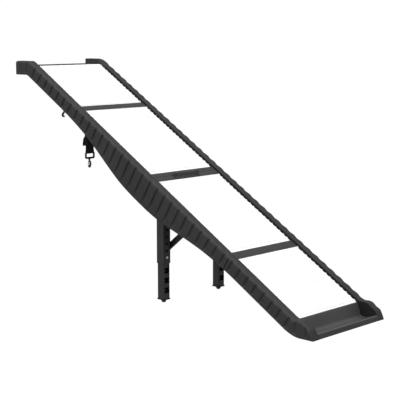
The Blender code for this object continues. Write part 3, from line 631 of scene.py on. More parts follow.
# --------------------------------------------------------------------- rails
def belly(s):
    """Underside of a rail: a smooth line through the heights of the table."""
    t = abs(s) / BELLY_STEP
    k = int(t)
    if k >= len(BELLY) - 1:
        return RAIL_N
    t -= k
    a, b, c, d = BELLY[abs(k - 1)], BELLY[k], BELLY[k + 1], BELLY[min(k + 2, len(BELLY) - 1)]
    return b + 0.5 * t * (c - a + t * (2 * a - 5 * b + 4 * c - d + t * (3 * (b - c) + d - a)))


RIM = {-1: (0.0130, 0.0060), 1: (0.0066, 0.0030)}
FOOT_R, BORDER = 0.0010, 0.0006
SHIFT = 0.05
FLUTE_W, FLUTE_D = 0.0066, 0.0050
FLUTE_STEPS = (0.0, 0.025, 0.055, 0.085, 0.115, 0.14, 0.156, 0.175, 0.22, 0.30, 0.40, 0.5, 0.60, 0.70, 0.78, 0.825, 0.844, 0.86, 0.885, 0.915, 0.945, 0.975)


def rail_section(top, bottom, side, v, fade, inset):
    """One closed section between two flat points. v is 1 at a groove and 0 on a crest."""
    run = bottom - top
    length = run.length
    run.normalize()

    edge_w, edge_h = RIM[side]

    def face(depth):
        """The rim waves gently; below it the wave narrows to a concave flute that runs out above the lower edge."""
        sharp = ease((depth - 0.002) / 0.008)
        wave = 0.0042 * ease(v)
        flute = FLUTE_D * max(0.0, 1.0 - ((1.0 - v) * PITCH / 2 / FLUTE_W) ** 2) ** 0.9
        out = 1.0 - ease((depth - 0.72 * length) / (0.26 * length))
        return HALF_W - inset - fade * (wave + (flute - wave) * sharp) * out

    pts = [(RAIL_IN, length), (RAIL_IN, length * 0.66), (RAIL_IN, length * 0.36), (RAIL_IN, min(0.008, length * 0.2)), (RAIL_IN, BORDER),
           (RAIL_IN + BORDER, 0.0), (RAIL_IN + BORDER + 0.002, 0.0)]
    edge = face(0.0) - edge_w
    pts += [((RAIL_IN + BORDER + edge) / 2, 0.0), (edge - 0.0015, 0.0)]
    for k in range(7):
        a = math.radians(90 * k / 6)
        depth = edge_h * (1 - math.cos(a))
        pts.append((face(depth) - edge_w * (1 - math.sin(a)), depth))
    room = length - edge_h - FOOT_R
    for step, share in ((0.0014, 0.05), (0.0030, 0.11), (0.0048, 0.18), (0.0075, 0.28), (0.012, 0.40), (0.020, 0.52), (0.030, 0.64), (0.042, 0.74), (0.054, 0.83), (0.064, 0.90), (0.080, 0.95)):
        pts.append((face(edge_h + min(step, share * room)), edge_h + min(step, share * room)))
    for k in range(4):
        a = math.radians(90 * k / 3)
        depth = length - FOOT_R * (1 - math.sin(a))
        pts.append((face(depth) - FOOT_R * (1 - math.cos(a)), depth))
    out = []
    for y, depth in pts:
        q = top + run * depth
        out.append(Vector((q.x + FOLD_X, side * y, q.y)))
    return out


def rail_mark(i, j):
    return 1 if j < 4 else 2 if j == 4 else 0


def corner_inset(gap, r):
    """How far a face draws back at a rounded corner, gap metres before its end."""
    return r - math.sqrt(max(r * r - (r - gap) ** 2, 0.0)) if gap < r else 0.0


def fan(top, bottom, keys, side, fade, end_r, first):
    """Sections along the curved end of a rail. keys pairs distances on the two lines; a groove lies at each inner key."""
    rings = []
    grooves = [k[0] for k in keys[:-1]]
    last = keys[-1][0]
    for (t0, b0), (t1, b1) in zip(keys, keys[1:]):
        final = t1 == last
        steps = (0.0, 0.02, 0.05, 0.10, 0.17, 0.26, 0.37, 0.5, 0.63, 0.74, 0.83, 0.90, 0.95, 0.98)
        if final:
            steps = (0.0, 0.03, 0.07, 0.13, 0.22, 0.34, 0.48, 0.60, 0.70, 0.79, 0.86, 0.91, 0.945, 0.97, 0.985, 0.995, 1.0)
        for u in steps:
            t, b = t0 + (t1 - t0) * u, b0 + (b1 - b0) * u
            v = 0.0
            power = 1.0
            for g in grooves:
                near = max(0.0, 1.0 - 2.0 * abs(t - g) / PITCH)
                v = max(v, near if g == grooves[0] else near ** 1.3)
            strength = 1.0 if t <= (grooves[0] + grooves[min(1, len(grooves) - 1)]) / 2 else fade
            gap = abs(last - t) * (b1 - b0) / (t1 - t0) if final else 1.0
            rings.append(rail_section(top.at(t), bottom.at(b), side, v ** power, strength, corner_inset(gap, end_r)))
    return rings


def rail(name, half, side):
    low = half == "lower"
    sign = 1 if low else -1
    t = WALL_LOW if low else WALL_UP
    count = 18 if low else 17
    stations = [GAP]
    for k in range(count + 1):
        for u in FLUTE_STEPS:
            s = (k - 0.5 + SHIFT + u) * PITCH
            if s > 0.0005:
                stations.append(s)
    final = (count + 0.5 + SHIFT) * PITCH
    rings = []
    for s in stations:
        u = (s / PITCH + 0.5 - SHIFT) % 1.0
        v = abs(2 * u - 1)
        rings.append(rail_section(Vector(to_flat(sign * s, 0.0)), Vector(to_flat(sign * s, belly(s))), side, v, 1.0, 0.0))
    plain = len(rings)
    if low:
        top = Line([to_flat(final, 0.0)] + bezier(to_flat(0.7885, 0.0), to_flat(0.7925, 0.0), (0.6835, 0.058), (0.6885, 0.058), 8)
                   + bezier((0.700, 0.058), (0.710, 0.058), (0.716, 0.0560), (0.724, 0.0510), 14)
                   + bezier((0.7415, 0.0400), (0.7480, 0.0358), (0.7508, 0.0335), (0.7528, 0.0290), 14) + [(0.7577, 0.0187), (0.7618, 0.0101), (0.7640, 0.0055)])
        bottom = Line([to_flat(final, RAIL_N)] + bezier(to_flat(0.786, RAIL_N), (0.667, 0.0092), (0.683, 0.0020), (0.7067, 0.0), 16) + [(TOE_X - 0.0004, 0.0)])
        keys = [(0.0, 0.0), (top.where_x(0.690), bottom.where_x(0.690)), (top.where_x(0.735), bottom.where_x(0.735)), (top.length, bottom.length)]
        rings += fan(top, bottom, keys, side, 0.85, 0.0035, 0.0)
    else:
        arc = [(TOP_X + 0.003 - 0.003 * math.sin(math.radians(a)), TOP_Z - 0.003 + 0.003 * math.cos(math.radians(a))) for a in range(0, 91, 15)]
        if side < 0:
            bend = bezier(to_flat(-0.7735, 0.0), to_flat(-0.7805, 0.0), (-0.6770, TOP_Z), (-0.6850, TOP_Z), 10)
        else:
            arc = [(x, z + 0.0024) for x, z in arc]
            bend = bezier(to_flat(-0.7625, 0.0), to_flat(-0.7755, 0.0), (-0.6795, TOP_Z + 0.0024), (-0.6960, TOP_Z + 0.0024), 12)
        top = Line([to_flat(-final, 0.0)] + bend + arc)
        arc = [(TOP_X + 0.002 - 0.002 * math.sin(math.radians(a)), TOP_UNDER + 0.002 - 0.002 * math.cos(math.radians(a))) for a in range(0, 91, 15)]
        bottom = Line([to_flat(-final, RAIL_N)] + bezier(to_flat(-0.7540, RAIL_N), to_flat(-0.7610, RAIL_N), (-0.6850, TOP_UNDER), (-0.6935, TOP_UNDER), 10) + arc)
        keys = [(0.0, 0.0), (top.where_x(-0.6855), bottom.where_x(-0.6930)), (top.where_x(-0.730), bottom.where_x(-0.730)), (top.length, bottom.length)]
        rings += fan(top, bottom, keys, side, 0.6, 0.0035, 0.0)
    # Inner wall faces take the near-black rail_inner look, and on the lower rail's toe the dark rail_cheek look:
    # painted shade.
    looks = ("rail", "rail_inner", "rail_border", "rail_cheek") if low else ("rail", "rail_inner", "rail_border")
    body = dress(skin(name, rings, index=lambda i, j: rail_mark(i, j) if i < plain else 0 if not low else 3 if j < 4 else rail_mark(i, j)), *looks)
    if low:
        nose = [(0.701, 0.058 - t), (0.714, 0.0562 - t * 1.2), (0.7385, 0.0400 - t), (0.7465, 0.0335 - t), (0.7612, 0.0), (0.7612, -0.02)]
        hollow = [to_flat(GAP + t, -0.14), to_flat(GAP + t, -t), to_flat(0.7945, -t)] + nose + [(0.60, -0.02)]
    else:
        hollow = [to_flat(-GAP - t, -0.14), to_flat(-GAP - t, -t), to_flat(-0.776, -t), (-0.680, TOP_Z - t - 0.001),
                  (TOP_X + t, TOP_Z - t), (TOP_X + t, 0.79), (-0.66, 0.79), to_flat(-0.43, -0.10)]
    tool = slab(name + "_hollow", [hollow], *sorted((side * (RAIL_IN + t), side * (HALF_W - FLUTE - t))), WORLD)
    combine(body, inked(tool, 0, *looks))
    if side < 0:
        s0, s1, n1 = (0.4648, 0.4684, -0.0045) if low else (-0.4952, -0.4934, -0.0260)
        combine(body, inked(block(name + "_slot", (s0, s1), (-0.21, -0.1932), (-0.08, n1), DECK), 1, *looks))
    shade(body, 38)
    return piece(body, half + "_half", [name], *looks)


for side, tag in SIDES:
    rail("rail_lower_" + tag, "lower", side).name = "shell_lower_" + tag
    rail("rail_upper_" + tag, "upper", side).name = "shell_upper_" + tag

# --------------------------------------------------------------------- decks


def deck(name, half, sign, bar, end):
    under = BASE_TOP - BASE_T
    middle = BAR_MID if sign > 0 else BAR_EDGE
    pts = [(GAP, BAR_TOP), (middle, BAR_TOP), (middle, BASE_TOP), (bar[0], BASE_TOP), (bar[0], BAR_TOP),
           (bar[1], BAR_TOP), (bar[1], BASE_TOP), (end, BASE_TOP), (end, under)]
    for k in range(8, 0, -1):
        s = 0.014 + (end - 0.030) * k / 8
        pts += [(s, under), (s - 0.0004, RIB_N), (s - 0.0026, RIB_N), (s - 0.003, under)]
    pts += [(GAP + 0.005, under), (GAP + 0.005, -0.085), (GAP, -0.085)]
    pts = soften([(sign * s, n) for s, n in pts], 0.0009)
    ob = slab(name, [pts], -DECK_HW, DECK_HW, DECK)
    for k, y in enumerate((-0.099, -0.050, 0.0, 0.050, 0.099)):
        span = sorted((sign * 0.030, sign * (end - 0.006)))
        combine(ob, block("%s_rib_%d" % (name, k), span, (y - 0.0015, y + 0.0015), (RIB_N + 0.0006, under + 0.001), DECK), "UNION")
    if sign > 0:
        combine(ob, block("notch", (-0.01, 0.0262), (-0.0565, 0.0565), (-0.0255, 0.02), DECK))
    else:
        combine(ob, block("notch", (-BAR_MID - 0.001, 0.01), (-TONGUE_HW - GAP, TONGUE_HW + GAP), (BASE_TOP, 0.02), DECK))
    shade(ob, 30)
    ob.name = name + "_base"
    return piece(ob, half, [name], "deck")


deck("deck_lower", "lower_half", 1, BAR_LOW, TOE_S)
deck("deck_upper", "upper_half", -1, (-BAR_UP[1], -BAR_UP[0]), 0.7655)

# -------------------------------------------------------------------- treads
RIDGE_H, RIDGE_W = 0.0030, 0.0056


def tread(name, half, s0, s1, raised=True):
    """A mat with rounded cross ridges every half pitch, its rim rounded over and turned up to the bar above it."""
    valley = TREAD_TOP - 0.0012
    if raised:
        top = [(s0, BAR_TOP - 0.0008), (s0 + 0.0003, BAR_TOP - 0.0004), (s0 + 0.0010, BAR_TOP - 0.0003)]
        top += [(s0 + 0.0010 + 0.0014 * i, valley + (BAR_TOP - 0.0003 - valley) * (0.5 + 0.5 * math.cos(math.pi * i / 6))) for i in range(1, 7)]
    else:
        top = [(s0, valley - 0.0012), (s0 + 0.0003, valley - 0.0005), (s0 + 0.0010, valley - 0.0001), (s0 + 0.0018, valley)]
    k = math.ceil((s0 + (0.016 if raised else 0.006)) / (PITCH / 2))
    while k * PITCH / 2 < s1 - 0.006:
        c = k * PITCH / 2
        for i in range(-5, 6):
            d = i / 5
            top.append((c + d * RIDGE_W, valley + RIDGE_H * (0.5 + 0.5 * math.cos(math.pi * d))))
        top.append((c + PITCH / 4, valley))
        k += 1
    while top[-1][0] > s1 - 0.0020:
        top.pop()
    top += [(s1 - 0.0018, valley), (s1 - 0.0010, valley - 0.0001), (s1 - 0.0003, valley - 0.0005), (s1, valley - 0.0012)]
    low = TREAD_TOP - TREAD_T
    hw = DECK_HW - 0.0003
    rings = []
    for off, drop in ((0.0, 0.0004), (0.0002, 0.0001), (0.0005, 0.0), (0.0016, 0.0), (0.060, 0.0), (0.120, 0.0)):
        rings.append((-hw + off, drop))
    rings += [(0.0, 0.0)] + [(-y, drop) for y, drop in reversed(rings)]
    loops = [[(s, y, max(n - drop, low + 0.0004)) for s, n in top] + [(s1, y, low), (s0, y, low)] for y, drop in rings]
    ob = skin(name, loops, matrix=DECK)
    shade(ob, 40)
    ob.name = name + "_mat"
    return piece(ob, half, [name], "tread")


tread("tread_1", "upper_half", CREST_S, BAR_UP[0] - GAP, False)
tread("tread_2", "upper_half", BAR_UP[1] + GAP, -BAR_EDGE - GAP)
tread("tread_3", "lower_half", BAR_MID + GAP, BAR_LOW[0] - GAP)
tread("tread_4", "lower_half", BAR_LOW[1] + GAP, TOE_S)

# ------------------------------------------------------- fold tongue and pin
arch = [(-0.0227, BAR_TOP), (-0.0200, BAR_TOP)]
arch += bezier((-0.0180, BAR_TOP), (-0.0090, BAR_TOP), (-0.0070, 0.0047), (0.0, 0.0047), 16)
arch += bezier((0.0, 0.0047), (0.0070, 0.0047), (0.0090, BAR_TOP), (0.0170, BAR_TOP), 16)[1:]
arch += [(0.0192, BAR_TOP - 0.0001), (0.0200, BAR_TOP - 0.0009), (0.0200, BASE_TOP + GAP), (-0.0227, BASE_TOP + GAP)]
tongue = slab("tongue", [arch, circle(0, PIN_N, PIN_R + 0.00006, 32)], -TONGUE_HW, TONGUE_HW, DECK)
rounded(tongue, 0.0006, 2, 50)
shade(tongue, 30)
piece(tongue, "upper_half", ["fold_tongue"], "deck")
tongue.name = "tongue_hump"
shape = [(GAP + 0.0215, BAR_TOP + GAP), (GAP + 0.0215, BAR_TOP + 0.0022), (0.0055, BAR_TOP + 0.0040)]
shape += [(0.0042 * math.cos(math.radians(a)), PIN_N + 0.0042 * math.sin(math.radians(a))) for a in range(10, 271, 10)]
shape += [(0.0015, BAR_TOP + GAP)]
for side, tag in SIDES:
    ob = slab("knuckle_" + tag, [shape, circle(0, PIN_N, PIN_R + 0.00006, 32)], *sorted((side * 0.0568, side * 0.0660)), DECK)
    rounded(ob, 0.0004, 2, 40)
    shade(ob, 35)
    piece(ob, "lower_half", ["fold_knuckle_" + tag], "deck")
AXIS_Y = Matrix.Rotation(math.radians(-90), 4, "X")


def bar_y(name, r, half, centre, matrix, chamfer=0.0006, steps=32):
    """A round bar along Y with chamfered ends."""
    profile = [(r - chamfer, half), (r, half - chamfer), (r, 0.0), (r, -half + chamfer), (r - chamfer, -half)]
    return shade(turned(name, profile, matrix @ Matrix.Translation(centre) @ AXIS_Y, steps), 30)


piece(bar_y("pin_bar", PIN_R, 0.0655, (0, 0, PIN_N), DECK, 0.0004, 24), "lower_half", ["fold_pin"], "zinc")

# ----------------------------------------------------------------------- toe
floor_line = [to_flat(TOE_S + GAP, TREAD_TOP - 0.0004), (0.6746, 0.0506), (0.6787, 0.0366), (0.6824, 0.0238), (0.6846, 0.0172)]
floor_line += bezier((0.6858, 0.0138), (0.6890, 0.0056), (0.6935, 0.0026), (0.7040, 0.0032), 16)
floor_line += bezier((0.7130, 0.0040), (0.7350, 0.0075), (0.7440, 0.0135), (0.7530, 0.0170), 16)
lip = bezier((0.7555, 0.0177), (0.7585, 0.0181), (0.7604, 0.0168), (0.7618, 0.0132), 8)
under_line = [(0.7635, 0.0088), (0.7648, 0.0050), (TOE_X - 0.0001, 0.0014), (TOE_X - 0.0004, 0.0004), (TOE_X - 0.0012, 0.0), (0.712, 0.0), (0.6960, 0.0006), (0.6880, 0.0030), (0.6820, 0.0060), (0.6620, 0.0160), to_flat(TOE_S + GAP, -0.0445)]
loop = floor_line + lip + under_line
columns = []
for off in (0.0, 0.0004, 0.0010, 0.0018, 0.0028, 0.0040, 0.0055, 0.0075, 0.03, 0.08):
    columns.append((-DECK_HW + off, off))
columns += [(0.0, 1.0)] + [(-y, off) for y, off in reversed(columns)]
rings = []
for y, off in columns:
    lift = corner_inset(off, 0.0018)
    row = []
    for k, (x, z) in enumerate(loop):
        up = lift if k < len(floor_line) + 2 else 0.0
        up *= 1.0 - ease((x - 0.750) / 0.009)
        up *= ease(k / 4)
        row.append((x + FOLD_X + up * 0.3, y, z + up * 0.8))
    rings.append(row)
# Front and underside faces take the darker toe_shaded_front copy, painted shade; the others take the paler toe copy,
# painted highlight.
toe = skin("toe_ramp", rings, index=lambda i, j: 1 if j >= len(floor_line) + 5 else 0)
shade(toe, 40)
piece(toe, "lower_half", ["nose_toe"], "toe", "toe_shaded_front")

# ------------------------------------------------------------------- landing
rest_line = [(-0.6656, REST_Z), (TOP_X + 0.0015, REST_Z), (TOP_X, REST_Z - 0.0015), (TOP_X, 0.8178), (TOP_X + 0.004, 0.8178), (TOP_X + 0.004, REST_Z - 0.004),
             (-0.6950, REST_Z - 0.004), (-0.6950, 0.8178), (-0.6910, 0.8178), (-0.6910, REST_Z - 0.004), (-0.6684, REST_Z - 0.004)]
rest = slab("landing", [soften(rest_line, 0.0008)], -DECK_HW, DECK_HW, WORLD)
shade(rest, 30)
piece(rest, "upper_half", ["top_rest"], "deck")

# The grip pad has rounded ribs on its underside.
x0, x1 = -0.7560, -0.6910
ribs = [(x0, 0.8175), (x0, TOP_UNDER + 0.0012)]
count = 13
for k in range(count):
    c = x0 + (x1 - x0) * (k + 0.5) / count
    for d, h in ((-0.0021, 0.0012), (-0.0016, 0.0005), (-0.0009, 0.0001), (0.0, 0.0), (0.0009, 0.0001), (0.0016, 0.0005), (0.0021, 0.0012)):
        ribs.append((c + d, TOP_UNDER + h))
ribs += [(x1, TOP_UNDER + 0.0012), (x1, 0.8175)]
pad = slab("grip_pad", [ribs], -0.16, 0.16, WORLD)
combine(pad, slab("pad_plan", [round_box(-0.7235, 0.0, 0.0650, 0.320, 0.006)], TOP_UNDER - 0.001, 0.8190, WORLD, flat=True), "INTERSECT")
shade(pad, 40)
piece(pad, "upper_half", ["top_grip_pad"], "rubber")

# ---------------------------------------------------------------------- legs
pivot_s, pivot_n = to_deck(LEG_X, LEG_PIVOT_Z)


def stack(name, levels, matrix=WORLD, index=None):
    """A solid through level rounded boxes: (z, u, v, w, h, r)."""
    return skin(name, [[(x, y, z) for x, y in round_box(u, v, w, h, r, 8)] for z, u, v, w, h, r in levels], matrix=matrix, index=index)


def leg(tag, side):
    y = side * LEG_Y
    w, d, t = SLEEVE
    z0, z1 = SLEEVE_BOTTOM, LEG_PIVOT_Z + 0.03
    # The sleeve's face towards +X and its recess take the paler sleeve_front copy: painted light.
    looks = ("sleeve", "hollow", "sleeve_front")
    sleeve = stack("sleeve_" + tag, [(z0, LEG_X, y, w - 0.0012, d - 0.0012, 0.0022), (z0 + 0.0003, LEG_X, y, w - 0.0005, d - 0.0005, 0.0024),
                                     (z0 + 0.0008, LEG_X, y, w - 0.0001, d - 0.0001, 0.0025), (z0 + 0.0014, LEG_X, y, w, d, 0.0026), (z1, LEG_X, y, w, d, 0.0026)],
                   index=lambda i, j: 2 if j == 35 else 0)
    dress(sleeve, *looks)
    combine(sleeve, inked(stack("bore", [(z0 - 0.01, LEG_X, y, w - 2 * t, d - 2 * t, 0.0012), (z1 + 0.01, LEG_X, y, w - 2 * t, d - 2 * t, 0.0012)]), 1, *looks))
    crown = [(LEG_X - 0.03, 0.10), (LEG_X + 0.03, 0.10), (LEG_X + 0.03, LEG_PIVOT_Z - 0.004)]
    crown += [(LEG_X + w / 2 * math.cos(math.radians(a)), LEG_PIVOT_Z + w / 2 * math.sin(math.radians(a))) for a in range(0, 181, 10)]
    crown += [(LEG_X - 0.03, LEG_PIVOT_Z - 0.004)]
    combine(sleeve, slab("crown", [crown], y - 0.03, y + 0.03, WORLD), "INTERSECT")
    turn_y, turn_x = AXIS_Y, Matrix.Rotation(math.radians(90), 4, "Y")

    def drill(r, centre, axis, half):
        return inked(turned("drill", [(r, half), (r, -half)], WORLD @ Matrix.Translation(centre) @ axis, 36), 1, *looks)

    combine(sleeve, drill(AXLE_R + 0.0003, (LEG_X, y, LEG_PIVOT_Z), turn_y, 0.03))
    combine(sleeve, drill(0.0033, (LEG_X, side * 0.1325, BRACE_Z), turn_y, 0.006))
    # A wide shallow recess carries the free holes, with a deeper line along its near edge.
    face = WORLD @ Matrix.Translation((LEG_X + w / 2, y, 0)) @ Matrix.Rotation(math.radians(90), 4, "Z")
    recess = skin("recess", [[(u, -v, z) for u, z in round_box(0, 0.270, 0.0262 + grow, 0.160 + grow, 0.0030, 5)] for v, grow in ((-0.0010, 0.0024), (0.0004, 0.0004), (0.0006, 0.0))], matrix=face)
    combine(sleeve, inked(recess, 2, *looks))
    line = round_box(-0.0122, 0.270, 0.0014, 0.158, 0.0006, 3)
    combine(sleeve, inked(slab("line", [line], -0.001, 0.0013, face), 1, *looks))
    for k in range(5):
        combine(sleeve, drill(HOLE_R, (LEG_X + 0.020, y, BUTTON_Z + k * HOLE_PITCH), turn_x, 0.010))
    shade(sleeve, 32)
    piece(sleeve, "leg_frame", ["leg_sleeve_" + tag], *looks)

    # The tube's face towards +X takes the paler tube_front copy: painted light.
    looks = ("tube", "hollow", "glint", "tube_front")
    w, d, t = TUBE
    b, e = TUBE_BOTTOM, TUBE_TOP
    tube = stack("inner_leg_" + tag, [(b, LEG_X, y, w, d, 0.0021), (SLEEVE_BOTTOM + 0.003, LEG_X, y, w, d, 0.0021), (e - 0.001, LEG_X, y, w, d, 0.0021), (e, LEG_X, y, w - 0.002, d - 0.002, 0.0015)],
                 index=lambda i, j: 1 if i >= 1 else 3 if j == 35 else 0)
    dress(tube, *looks)
    combine(tube, inked(stack("bore", [(0.140, LEG_X, y, w - 2 * t, d - 2 * t, 0.0010), (e + 0.01, LEG_X, y, w - 2 * t, d - 2 * t, 0.0010)]), 1, *looks))
    combine(tube, inked(stack("bore", [(b - 0.01, LEG_X, y, w - 2 * t, d - 2 * t, 0.0010), (0.0310, LEG_X, y, w - 2 * t, d - 2 * t, 0.0010)]), 1, *looks))
    combine(tube, drill(HOLE_R, (LEG_X + 0.018, y, BUTTON_Z), turn_x, 0.010))
    front = LEG_X + w / 2
    for z in (0.1205, 0.0835, 0.0465):
        out = WORLD @ Matrix.Translation((front, y, z)) @ Matrix.Rotation(math.radians(90), 4, "Y")
        pocket = skin("pocket", [[(u, v, -0.0078) for u, v in round_box(0, 0, 0.0192, 0.0212, 0.0012, 4)],
                                 [(u, v, 0.0005) for u, v in round_box(0, 0, 0.0209, 0.0229, 0.0016, 4)]], matrix=out)
        boss = skin("boss", [[(u, v, -0.0090) for u, v in round_box(0.0010, -0.0035, 0.0058, 0.0056, 0.0010, 4)],
                             [(u, v, -0.0034) for u, v in round_box(0.0010, -0.0035, 0.0048, 0.0046, 0.0010, 4)]], matrix=out)
        combine(inked(pocket, 1, *looks), inked(boss, 2, *looks))
        combine(tube, pocket)
    shade(tube, 32)
    piece(tube, "leg_extension_" + tag, ["leg_tube_" + tag], *looks)

    # The cap: a thin black flange, and a blunt grey nub below it.
    levels = []
    for z, fw, fd, r in ((0.0155, 0.0358, 0.0336, 0.0024), (0.0151, 0.0366, 0.0344, 0.0026), (0.0116, 0.0366, 0.0344, 0.0026), (0.0110, 0.0360, 0.0338, 0.0030),
                         (0.0108, 0.0340, 0.0320, 0.0060)):
        levels.append((z, LEG_X, y, fw, fd, r))
    for z, r in ((0.0106, 0.0134), (0.0101, 0.0121), (0.0090, 0.0107), (0.0078, 0.0100), (0.0062, 0.00925), (0.0048, 0.0086), (0.0034, 0.0080), (0.0020, 0.0072), (0.0011, 0.0066),
                 (0.0005, 0.0060), (0.0001, 0.0054), (0.0, 0.0050)):
        levels.append((z, LEG_X, y, 2 * r, 2 * r, r - 0.00001))
    foot = stack("foot_cap_" + tag, levels, index=lambda i, j: 1 if i >= 5 else 0)
    shade(foot, 40)
    piece(foot, "leg_extension_" + tag, ["foot_" + tag], "rubber", "nub")

    face = LEG_X + w / 2 - t - GAP
    out = WORLD @ Matrix.Translation((face, y, BUTTON_Z)) @ Matrix.Rotation(math.radians(90), 4, "Y")
    r = BUTTON_R
    top = LEG_X + SLEEVE[0] / 2 + 0.0026 - face
    head = [(r * k / 8, top - 0.0024 * (1 - math.sqrt(max(1 - (k / 8) ** 2.4, 0.0)))) for k in range(1, 9)]
    head += [(r, top - 0.003), (r, 0.0003), (r + 0.0003, 0.0), (0.0062, 0.0), (0.0064, -0.0003), (0.0064, -0.0013), (0.0061, -0.0016)]
    button = turned("button_" + tag, head, out, 36)
    shade(button, 35)
    piece(button, "button_" + tag, ["leg_button_" + tag], "button")

    lo, hi = sorted((side * BRACE_Y[0], side * BRACE_Y[1]))
    holes = [circle(LEG_X, BRACE_Z, 0.0032, 32), circle(ROD_X, ROD_Z, ROD_R + 0.0003, 32)]
    brace = slab("stay_" + tag, [capsule(LEG_X, BRACE_Z, ROD_X, ROD_Z, 0.0102)] + holes, lo, hi, WORLD)
    a = Vector((ROD_X - LEG_X, ROD_Z - BRACE_Z)).normalized()
    flute = capsule(LEG_X + a.x * 0.018, BRACE_Z + a.y * 0.018, ROD_X - a.x * 0.018, ROD_Z - a.y * 0.018, 0.0036, 8)
    for y0, y1 in ((lo - 0.001, lo + 0.0010), (hi - 0.0010, hi + 0.001)):
        combine(brace, slab("flute", [flute], y0, y1, WORLD))
    rounded(brace, 0.0006, 2, 50)
    shade(brace, 35)
    piece(brace, "brace_frame", ["brace_" + tag], "black")

    inward = Matrix.Translation((FOLD_X + LEG_X, side * (BRACE_Y[0] - GAP), BRACE_Z)) @ Matrix.Rotation(math.radians(side * 90), 4, "X")
    long = LEG_Y - SLEEVE[1] / 2 + SLEEVE[2] - BRACE_Y[0] + GAP
    dome = [(0.0058 * math.sin(math.radians(a)), 0.0022 * math.cos(math.radians(a))) for a in range(12, 91, 13)]
    rivet = turned("stay_rivet_" + tag, [(0.0007, 0.0016)] + dome[1:] + [(0.0058, 0.0), (0.0031, 0.0), (0.0030, -0.0002), (0.0030, -long)], inward, 32)
    shade(rivet, 40)
    piece(rivet, "leg_frame", ["brace_rivet_" + tag], "zinc")


for side, tag in SIDES:
    leg(tag, side)
cross = slab("cross_tube", [circle(LEG_X, CROSS_Z, CROSS_R, 40), circle(LEG_X, CROSS_Z, CROSS_R - 0.0015, 40)], -0.1306, 0.1306, WORLD)
shade(cross, 35)
piece(cross, "leg_frame", ["leg_cross_tube"], "black")
piece(bar_y("stay_rod", ROD_R, BRACE_Y[1], (ROD_X, 0, ROD_Z), WORLD), "brace_frame", ["brace_rod"], "zinc")
piece(bar_y("leg_axle_bar", AXLE_R, 0.1662, (LEG_X, 0, LEG_PIVOT_Z), WORLD), "lower_half", ["leg_axle"], "zinc")

# ------------------------------------------------- plates and their screws


def screw(name, place, long, nodes, body):
    """A pan head screw with a cross recess."""
    head = [(0.0042 * math.sin(math.radians(a)), 0.0001 + 0.0021 * math.cos(math.radians(a)) ** 0.7) for a in range(8, 84, 15)]
    ob = turned(name, head + [(0.0042, 0.0003), (0.0041, 0.0), (0.0020, 0.0), (0.0020, -long)], place, 32)
    for a, b in ((0.0022, 0.00045), (0.00045, 0.0022)):
        combine(ob, block("recess", (-a, a), (-b, b), (0.0008, 0.004), place))
    shade(ob, 35)
    return piece(ob, body, nodes, "zinc")


for side, tag in SIDES:
    for k, s in enumerate((pivot_s - 0.014, pivot_s + 0.014)):
        place = DECK @ Matrix.Translation((s, side * 0.1105, RIB_N - 0.0036)) @ Matrix.Rotation(math.radians(180), 4, "X")
        screw("bracket_screw_%s_%d" % (tag, k + 1), place, 0.0100, ["bracket_bolt_%s_%d" % (tag, k + 1)], "lower_half")
    for k, s in enumerate((TRACK_S[0] - 0.006, TRACK_S[1] + 0.004)):
        place = DECK @ Matrix.Translation((s, side * 0.0880, RIB_N - 0.0026)) @ Matrix.Rotation(math.radians(180), 4, "X")
        screw("track_screw_%s_%d" % (tag, k + 1), place, 0.0090, ["track_bolt_%s_%d" % (tag, k + 1)], "lower_half")

# -------------------------------------------------------------------- tether
bar_r, ring_r = 0.0025 + GAP + WEB_T / 2, 0.0018 + GAP + WEB_T / 2
lay = WEB_T / 2 + 0.0004


def strap_line():
    """From a flared tail that hangs behind the tape, over the bar, down through the ring and back up as the sewn end."""
    pts = []
    for dx, z in ((-0.0187, 0.5470), (-0.0183, 0.5535), (-0.0176, 0.5595), (-0.0165, 0.5650), (-0.0156, 0.5700), (-0.0142, 0.5745), (-0.0120, 0.5782), (-0.0090, 0.5808), (-0.0062, 0.5845),
                  (-0.0036, 0.5960), (-0.0030, 0.6100), (-0.0028, 0.6250), (-0.0029, 0.6400), (-0.0032, 0.6520), (-0.0035, 0.6600)):
        pts.append((EYE_X + dx, z))
    pts += [(EYE_X + bar_r * math.cos(math.radians(a)), EYE_Z + bar_r * math.sin(math.radians(a))) for a in range(170, 9, -16)]
    pts += [(EYE_X + bar_r - (bar_r - lay) * ease(k / 8), EYE_Z - 0.0005 - 0.0180 * k / 8) for k in range(9)]
    z0 = RING_Z[0]
    top = EYE_Z - 0.0185
    for k in range(1, 12):
        t = k / 12
        pts.append((EYE_X + lay + 0.0006 * math.sin(math.pi * t), top + (z0 + 0.016 - top) * t))
    pts += [(EYE_X + lay + (ring_r - lay) * ease(k / 8), z0 + 0.016 - 0.0155 * k / 8) for k in range(9)]
    pts += [(EYE_X + ring_r * math.cos(math.radians(a)), z0 + ring_r * math.sin(math.radians(a))) for a in range(-10, -171, -16)]
    pts += [(EYE_X - ring_r + (ring_r - lay) * ease(k / 8), z0 + 0.0005 + 0.0155 * k / 8) for k in range(9)]
    pts += [(EYE_X - lay, z0 + 0.016 + 0.042 * k / 8) for k in range(1, 9)]
    return pts


def webbing_section(half_w):
    """Outline of the tape: flat faces, slightly thicker rounded selvedges."""
    out = []
    for sign in (1, -1):
        for y, h in ((-0.0165, 0.00080), (-0.010, 0.00082), (0.0, 0.00084), (0.010, 0.00082), (0.0165, 0.00080)):
            out.append((y * sign * half_w / 0.018, h * sign))
        out += [(sign * (half_w - 0.0006), sign * 0.00090), (sign * (half_w - 0.0001), sign * 0.00050), (sign * half_w, 0.0), (sign * (half_w - 0.0001), -sign * 0.00050),
                (sign * (half_w - 0.0006), -sign * 0.00088)]
    return out


